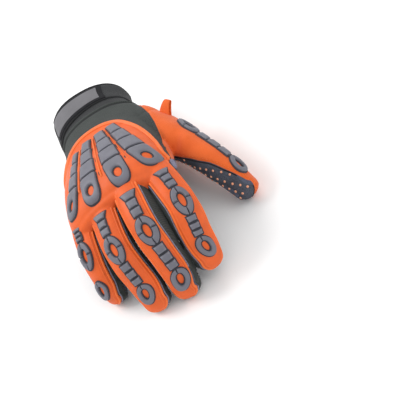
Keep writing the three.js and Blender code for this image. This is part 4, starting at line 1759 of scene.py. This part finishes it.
@dataclass(frozen=True)
class Knuckle:
    """One column of moulded pads on the back of the hand, up to its knuckle ring.

    Attributes:
        column: The column.
        groove: Gap between two pads.
        narrow: Share of the column's width that the pads take.
        taper: How much narrower each pad's end is.
        ring: The ring's centre and half length, as shares of the column's length.
        hole: Shares of the ring's half width and half length that its hole takes.
        heel: How square the ring's start is.
        nose: How square its far end is.
    """

    column: Column
    groove: float = 1.4
    narrow: float = 0.92
    taper: float = 0.6
    ring: tuple[float, float] = (0.98, 0.15)
    hole: tuple[float, float] = (0.45, 0.48)
    heel: float = 8.0
    nose: float = 2.7

    def build(self, dresser: Dresser) -> None:
        """Builds and dresses the column."""
        column, half = self.column, tuple(self.narrow * width for width in self.column.half)
        made = Moulding(column.over)
        length = column.length()
        for k in range(3):
            end = (k + 1) / 4 * length - self.groove
            made.add(Pad(k / 4 * length, end, (half[k], half[k + 1] - self.taper), 13))
        # The dark sheet under the pads is painted shade in the grooves.
        made.web(Pad(1, 0.86 * length, (half[0] - 1, half[4] - 1.6), 9), 1.4)
        centre, reach = self.ring[0] * length, self.ring[1] * length
        heel = (0.24 * length - reach - self.groove / 2, self.heel)
        hole = (half[4] * self.hole[0], reach * self.hole[1])
        made.add(Ring(centre, (half[4] * 0.94, reach), hole, (), heel, self.nose, 72))
        made.dress(dresser, f"{column.name}_pads", f"{column.name}_bed", f"{column.name}_knuckle")


@dataclass(frozen=True)
class Ridge:
    """The orange ridge between two columns in the lighter orange, a painted highlight, with short dark marks
    along it that are painted shade in its slots.

    Attributes:
        left: The column on its little finger side.
        right: The column on its thumb side.
        slots: Shares of its length between which each slot lies.
        lean: Share of the way from the left column to the right one at which the slots lie.
    """

    left: Column
    right: Column
    slots: tuple[tuple[float, float], ...] = ((0.04, 0.12), (0.26, 0.36), (0.5, 0.62), (0.74, 0.84))
    lean: float = 0.3

    def build(self, dresser: Dresser) -> None:
        """Builds and dresses the ridge and its slots."""
        shares = np.linspace(0.0, 0.88, 45)
        edges = []
        for column, sign in ((self.left, 1), (self.right, -1)):
            path = column.path()
            half = np.interp(shares, np.linspace(0, 1, 5), column.half)
            places = np.linspace(0, 1, len(path))
            spot = np.stack([np.interp(shares, places, part) for part in path.T], axis=1)
            along = unit(np.gradient(spot, axis=0))
            edges.append(spot + sign * np.stack([-along[:, 1], along[:, 0]], axis=1) * half[:, None])
        middle = (edges[0] + edges[1]) / 2
        gap = np.linalg.norm(edges[1] - edges[0], axis=1)
        name = f"{self.left.name}_{self.right.name}"
        # The ridge uses the lighter orange rubber, a painted highlight.
        ridge = bead(HAND.over, middle, float(np.clip(gap.mean() / 4, 0.5, 1.3)), 1.9)
        dresser.add(f"{name}_ridge", ridge, Finish.RIM, Slot.RUBBER_BACK)
        line = (1 - self.lean) * edges[0] + self.lean * edges[1]
        cut = [line[(shares >= start) & (shares <= end)] for start, end in self.slots]
        # The slots are raised dark beads: painted shade in the ridge's slots.
        slots = Mesh.join(bead(HAND.over, part, 0.6, 1.6) for part in cut)
        dresser.add(f"{name}_slots", slots, Finish.LINK, Slot.GUARD)


@dataclass(frozen=True)
class Strap:
    """The wrist strap, its bare label and the rim's binding.

    Attributes:
        start: Where the strap starts along the hand.
        end: Where it ends.
        slant: How much its start leans with the place across.
        base: Height of its underside over the cuff.
        thick: Its thickness.
        label: Angles round the wrist between which the label lies.
        binding: Radius of the rim's binding.
    """

    start: float = 20.0
    end: float = 44.0
    slant: float = 0.16
    base: float = 0.4
    thick: float = 1.7
    label: tuple[float, float] = (67.0, 144.0)
    binding: float = 1.25

    def _band(self, angles: Array, between: tuple[float, float], low: float, high: float) -> Form:
        """Returns a band with rolled edges round the wrist.

        Args:
            angles: Angles round the wrist in degrees.
            between: Shares of the strap's width between which it lies.
            low: Height of its underside over the cuff.
            high: Height of its face.

        Returns:
            The band's points and faces.
        """
        u = eased(11)
        shares = between[0] + (between[1] - between[0]) * (u + 1) / 2
        heights = low + (high - low) * (0.25 + 0.75 * (1 - np.abs(u) ** 10) ** 0.4)
        around = [*zip(shares, heights), *((share, low) for share in shares[::-1])]
        rings = []
        for angle in angles:
            begin = self.start + self.slant * HAND.ring(self.start, np.array([angle]))[0][0]
            rings.append([HAND.ring(begin + (self.end - begin) * share, np.array([angle]), -height)[0]
                          for share, height in around])
        return Mesh.rings(np.array(rings))

    def build(self, dresser: Dresser) -> None:
        """Builds and dresses the strap, the label and the binding."""
        top = self.base + self.thick
        first, last = self.label
        band = self._band(np.linspace(0, 180, 61), (0, 0.96), self.base, top)
        frame = self._band(np.linspace(first - 8, last + 2, 40), (0.02, 0.95), top - 0.6, top + 0.5)
        plate = self._band(np.linspace(first, last, 44), (0.15, 0.83), top, top + 0.9)
        dresser.add("strap_band", band, Finish.ELASTIC, Slot.ELASTIC, ("wrist_strap",))
        dresser.add("label_frame", frame, Finish.BINDING, Slot.ELASTIC)
        dresser.add("label_plate", plate, Finish.LABEL, Slot.LABEL, ("strap_label",))
        rim = Mesh.tube(HAND.ring(RIM, np.arange(0, 363, 3.0), 0.6), self.binding, 10)
        dresser.add("rim_binding", rim, Finish.BINDING, Slot.KNIT)


@dataclass(frozen=True)
class PullTab:
    """The folded loop on the thumb side of the wrist.

    Attributes:
        width: Its width at the root.
        reach: How far it stands out.
        root: How far its ends go into the glove.
        thick: The cloth's thickness.
        gap: Half the gap between its two sides.
        swell: How far its upper side bulges.
        at: Where its root stands.
        turn: Its direction seen from above, in degrees.
        rise: How steeply it rises, in degrees.
    """

    width: float = 11.0
    reach: float = 12.8
    root: float = 3.0
    thick: float = 1.1
    gap: float = 1.3
    swell: float = 1.1
    at: tuple[float, float, float] = (54.2, -17.8, 39.9)
    turn: float = 40.0
    rise: float = 38.0

    def build(self, dresser: Dresser) -> None:
        """Builds and dresses the loop and its stitches."""
        dresser.add("tab_loop", self._moved(self._loop()), Finish.STRETCH, Slot.STRETCH, ("pull_tab",))
        dresser.add("tab_stitches", self._moved(self._stitches()), Finish.THREAD_ORANGE, Slot.STRETCH)

    def _upper(self, along: Array) -> Array:
        """Returns the height of the loop's upper side."""
        return self.gap + self.swell * np.sin(along / self.reach * np.pi)

    def _loop(self) -> Form:
        """Returns the folded cloth, lying flat."""
        out = np.linspace(-self.root, self.reach - self.gap, 9)
        turns = np.linspace(0, np.pi, 9)[1:-1]
        along = np.concatenate([out, self.reach - self.gap + self.gap * np.sin(turns), out[::-1]])
        lower = -self.gap + 0.8 * np.sin(out[::-1] / self.reach * np.pi)
        path = np.stack([along, np.concatenate([self._upper(out), self.gap * np.cos(turns), lower])], axis=1)
        tangent = unit(np.gradient(path, axis=0))
        normal = np.stack([-tangent[:, 1], tangent[:, 0]], axis=1)
        taper = 1 - 0.45 * np.clip(path[:, 0] / self.reach, 0, 1) ** 1.4
        u = eased(9)
        edge = (1 - np.abs(u) ** 8) ** 0.5
        sides = []
        for way in (1, -1):
            spot = path[:, None] + way * normal[:, None] * self.thick / 2 * edge[:, None]
            sides.append(np.stack([spot[..., 0], self.width / 2 * taper[:, None] * u, spot[..., 1]], axis=-1))
        return Mesh.sheet(*sides)

    def _stitches(self) -> Form:
        """Returns the sewn box with its diagonal, lying on the upper side."""
        box = np.array([(2, -3), (6.4, -2.7), (6.4, 2.7), (2, 3), (2, -3), (6.4, 2.7)], float)
        line = np.column_stack([box, self._upper(box[:, 0]) + 0.6])
        threads = []
        for start, end in zip(line[:-1], line[1:]):
            for share in np.arange(0.05, 0.9, 0.25):
                ends = np.array([start + (end - start) * s for s in (share, share + 0.09, share + 0.18)])
                threads.append(Mesh.tube(ends, 0.22, 6, 0.4))
        return Mesh.join(threads)

    def _moved(self, form: Form) -> Form:
        """Returns a form of the flat loop where it stands on the glove."""
        points, faces = form
        level, tilt = np.radians(self.turn), np.radians(-self.rise)
        turn = Matrix.Rotation(level, 3, "Z") @ Matrix.Rotation(tilt, 3, "Y")
        return points @ np.array(turn).T + self.at, faces


@dataclass(frozen=True)
class Studio:
    """The pale floor, the soft lights and the camera.

    Attributes:
        place: The camera's place in the frame, in metres.
        right: The camera's own right.
        up: Its own up.
        back: Its own back.
        lens: Focal length in millimetres.
        lights: Place, power and size of each soft light.
        sky: Strength of the light from all round.
        floor: Half width of the floor, and how low it lies, in metres.
    """

    place: tuple[float, float, float] = (0.08975, -0.55143, 0.52145)
    right: tuple[float, float, float] = (0.87425, -0.28153, -0.39551)
    up: tuple[float, float, float] = (0.47776, 0.6436, 0.59794)
    back: tuple[float, float, float] = (0.08621, -0.71171, 0.69717)
    lens: float = 85.0
    lights: tuple[tuple[tuple[float, float, float], float, float], ...] = (
        ((-0.75, 0.35, 0.95), 7.5, 0.6),
        ((0.7, -0.5, 0.9), 2.6, 0.8),
        ((0.1, 0.9, 0.7), 2.0, 0.8),
    )
    sky: float = 0.78
    floor: tuple[float, float] = (4.0, 0.0002)

    def build(self) -> None:
        """Builds the floor, the lights and the camera."""
        self._floor()
        for k, (place, power, size) in enumerate(self.lights):
            data = bpy.data.lights.new(f"soft_{k}", "AREA")
            data.energy, data.size = power, size
            lamp = placed(f"soft_{k}", data)
            lamp.location = place
            lamp.rotation_euler = (-Vector(place)).to_track_quat("-Z", "Y").to_euler()
        data = bpy.data.cameras.new("camera")
        data.lens, data.sensor_width = self.lens, 36.0
        camera = placed("camera", data)
        turn = Matrix((self.right, self.up, self.back)).transposed().to_4x4()
        camera.matrix_world = Matrix.Translation(self.place) @ turn
        bpy.context.scene.camera = camera
        world = bpy.data.worlds.new("studio")
        world.use_nodes = True
        background = world.node_tree.nodes["Background"].inputs
        background["Color"].default_value = (1.0, 1.0, 1.0, 1.0)
        background["Strength"].default_value = self.sky
        bpy.context.scene.world = world
        bpy.context.scene.view_settings.view_transform = "Standard"

    def _floor(self) -> None:
        """Builds the pale floor."""
        half, drop = self.floor
        steps = np.linspace(-half, half, 9)
        points = [(x, y, -drop) for x in steps for y in steps]
        index = np.arange(len(points)).reshape(len(steps), -1)
        faces = np.stack([index[:-1, :-1], index[1:, :-1], index[1:, 1:], index[:-1, 1:]], axis=-1)
        data = bpy.data.meshes.new("floor")
        data.from_pydata(points, [], faces.reshape(-1, 4).tolist())
        floor = placed("floor", data)
        shade = Shade("floor")
        tone = shade.ramp(shade.noise(3), 0.3, 0.7)
        shade.surface(shade.mix(tone, rgb("fafafa"), rgb("fdfdfd")), 0.8 + 0.08 * tone, 0.1)
        data.materials.append(shade.material)


def main() -> None:
    """Builds the glove piece by piece, then the studio."""
    logging.basicConfig(level=logging.INFO, format="%(message)s")
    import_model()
    dresser = Dresser()
    guards = [Guard(digit) for digit in DIGITS]
    knuckles = [Knuckle(column) for column in COLUMNS]
    ridges = [Ridge(left, right) for right, left in zip(COLUMNS[:-1], COLUMNS[1:])]
    for assembly in (Shell(), *guards, *knuckles, *ridges, Strap(), PullTab()):
        assembly.build(dresser)
    Studio().build()
    LOG.info("%d pieces", dresser.count)


if __name__ == "__main__":
    main()
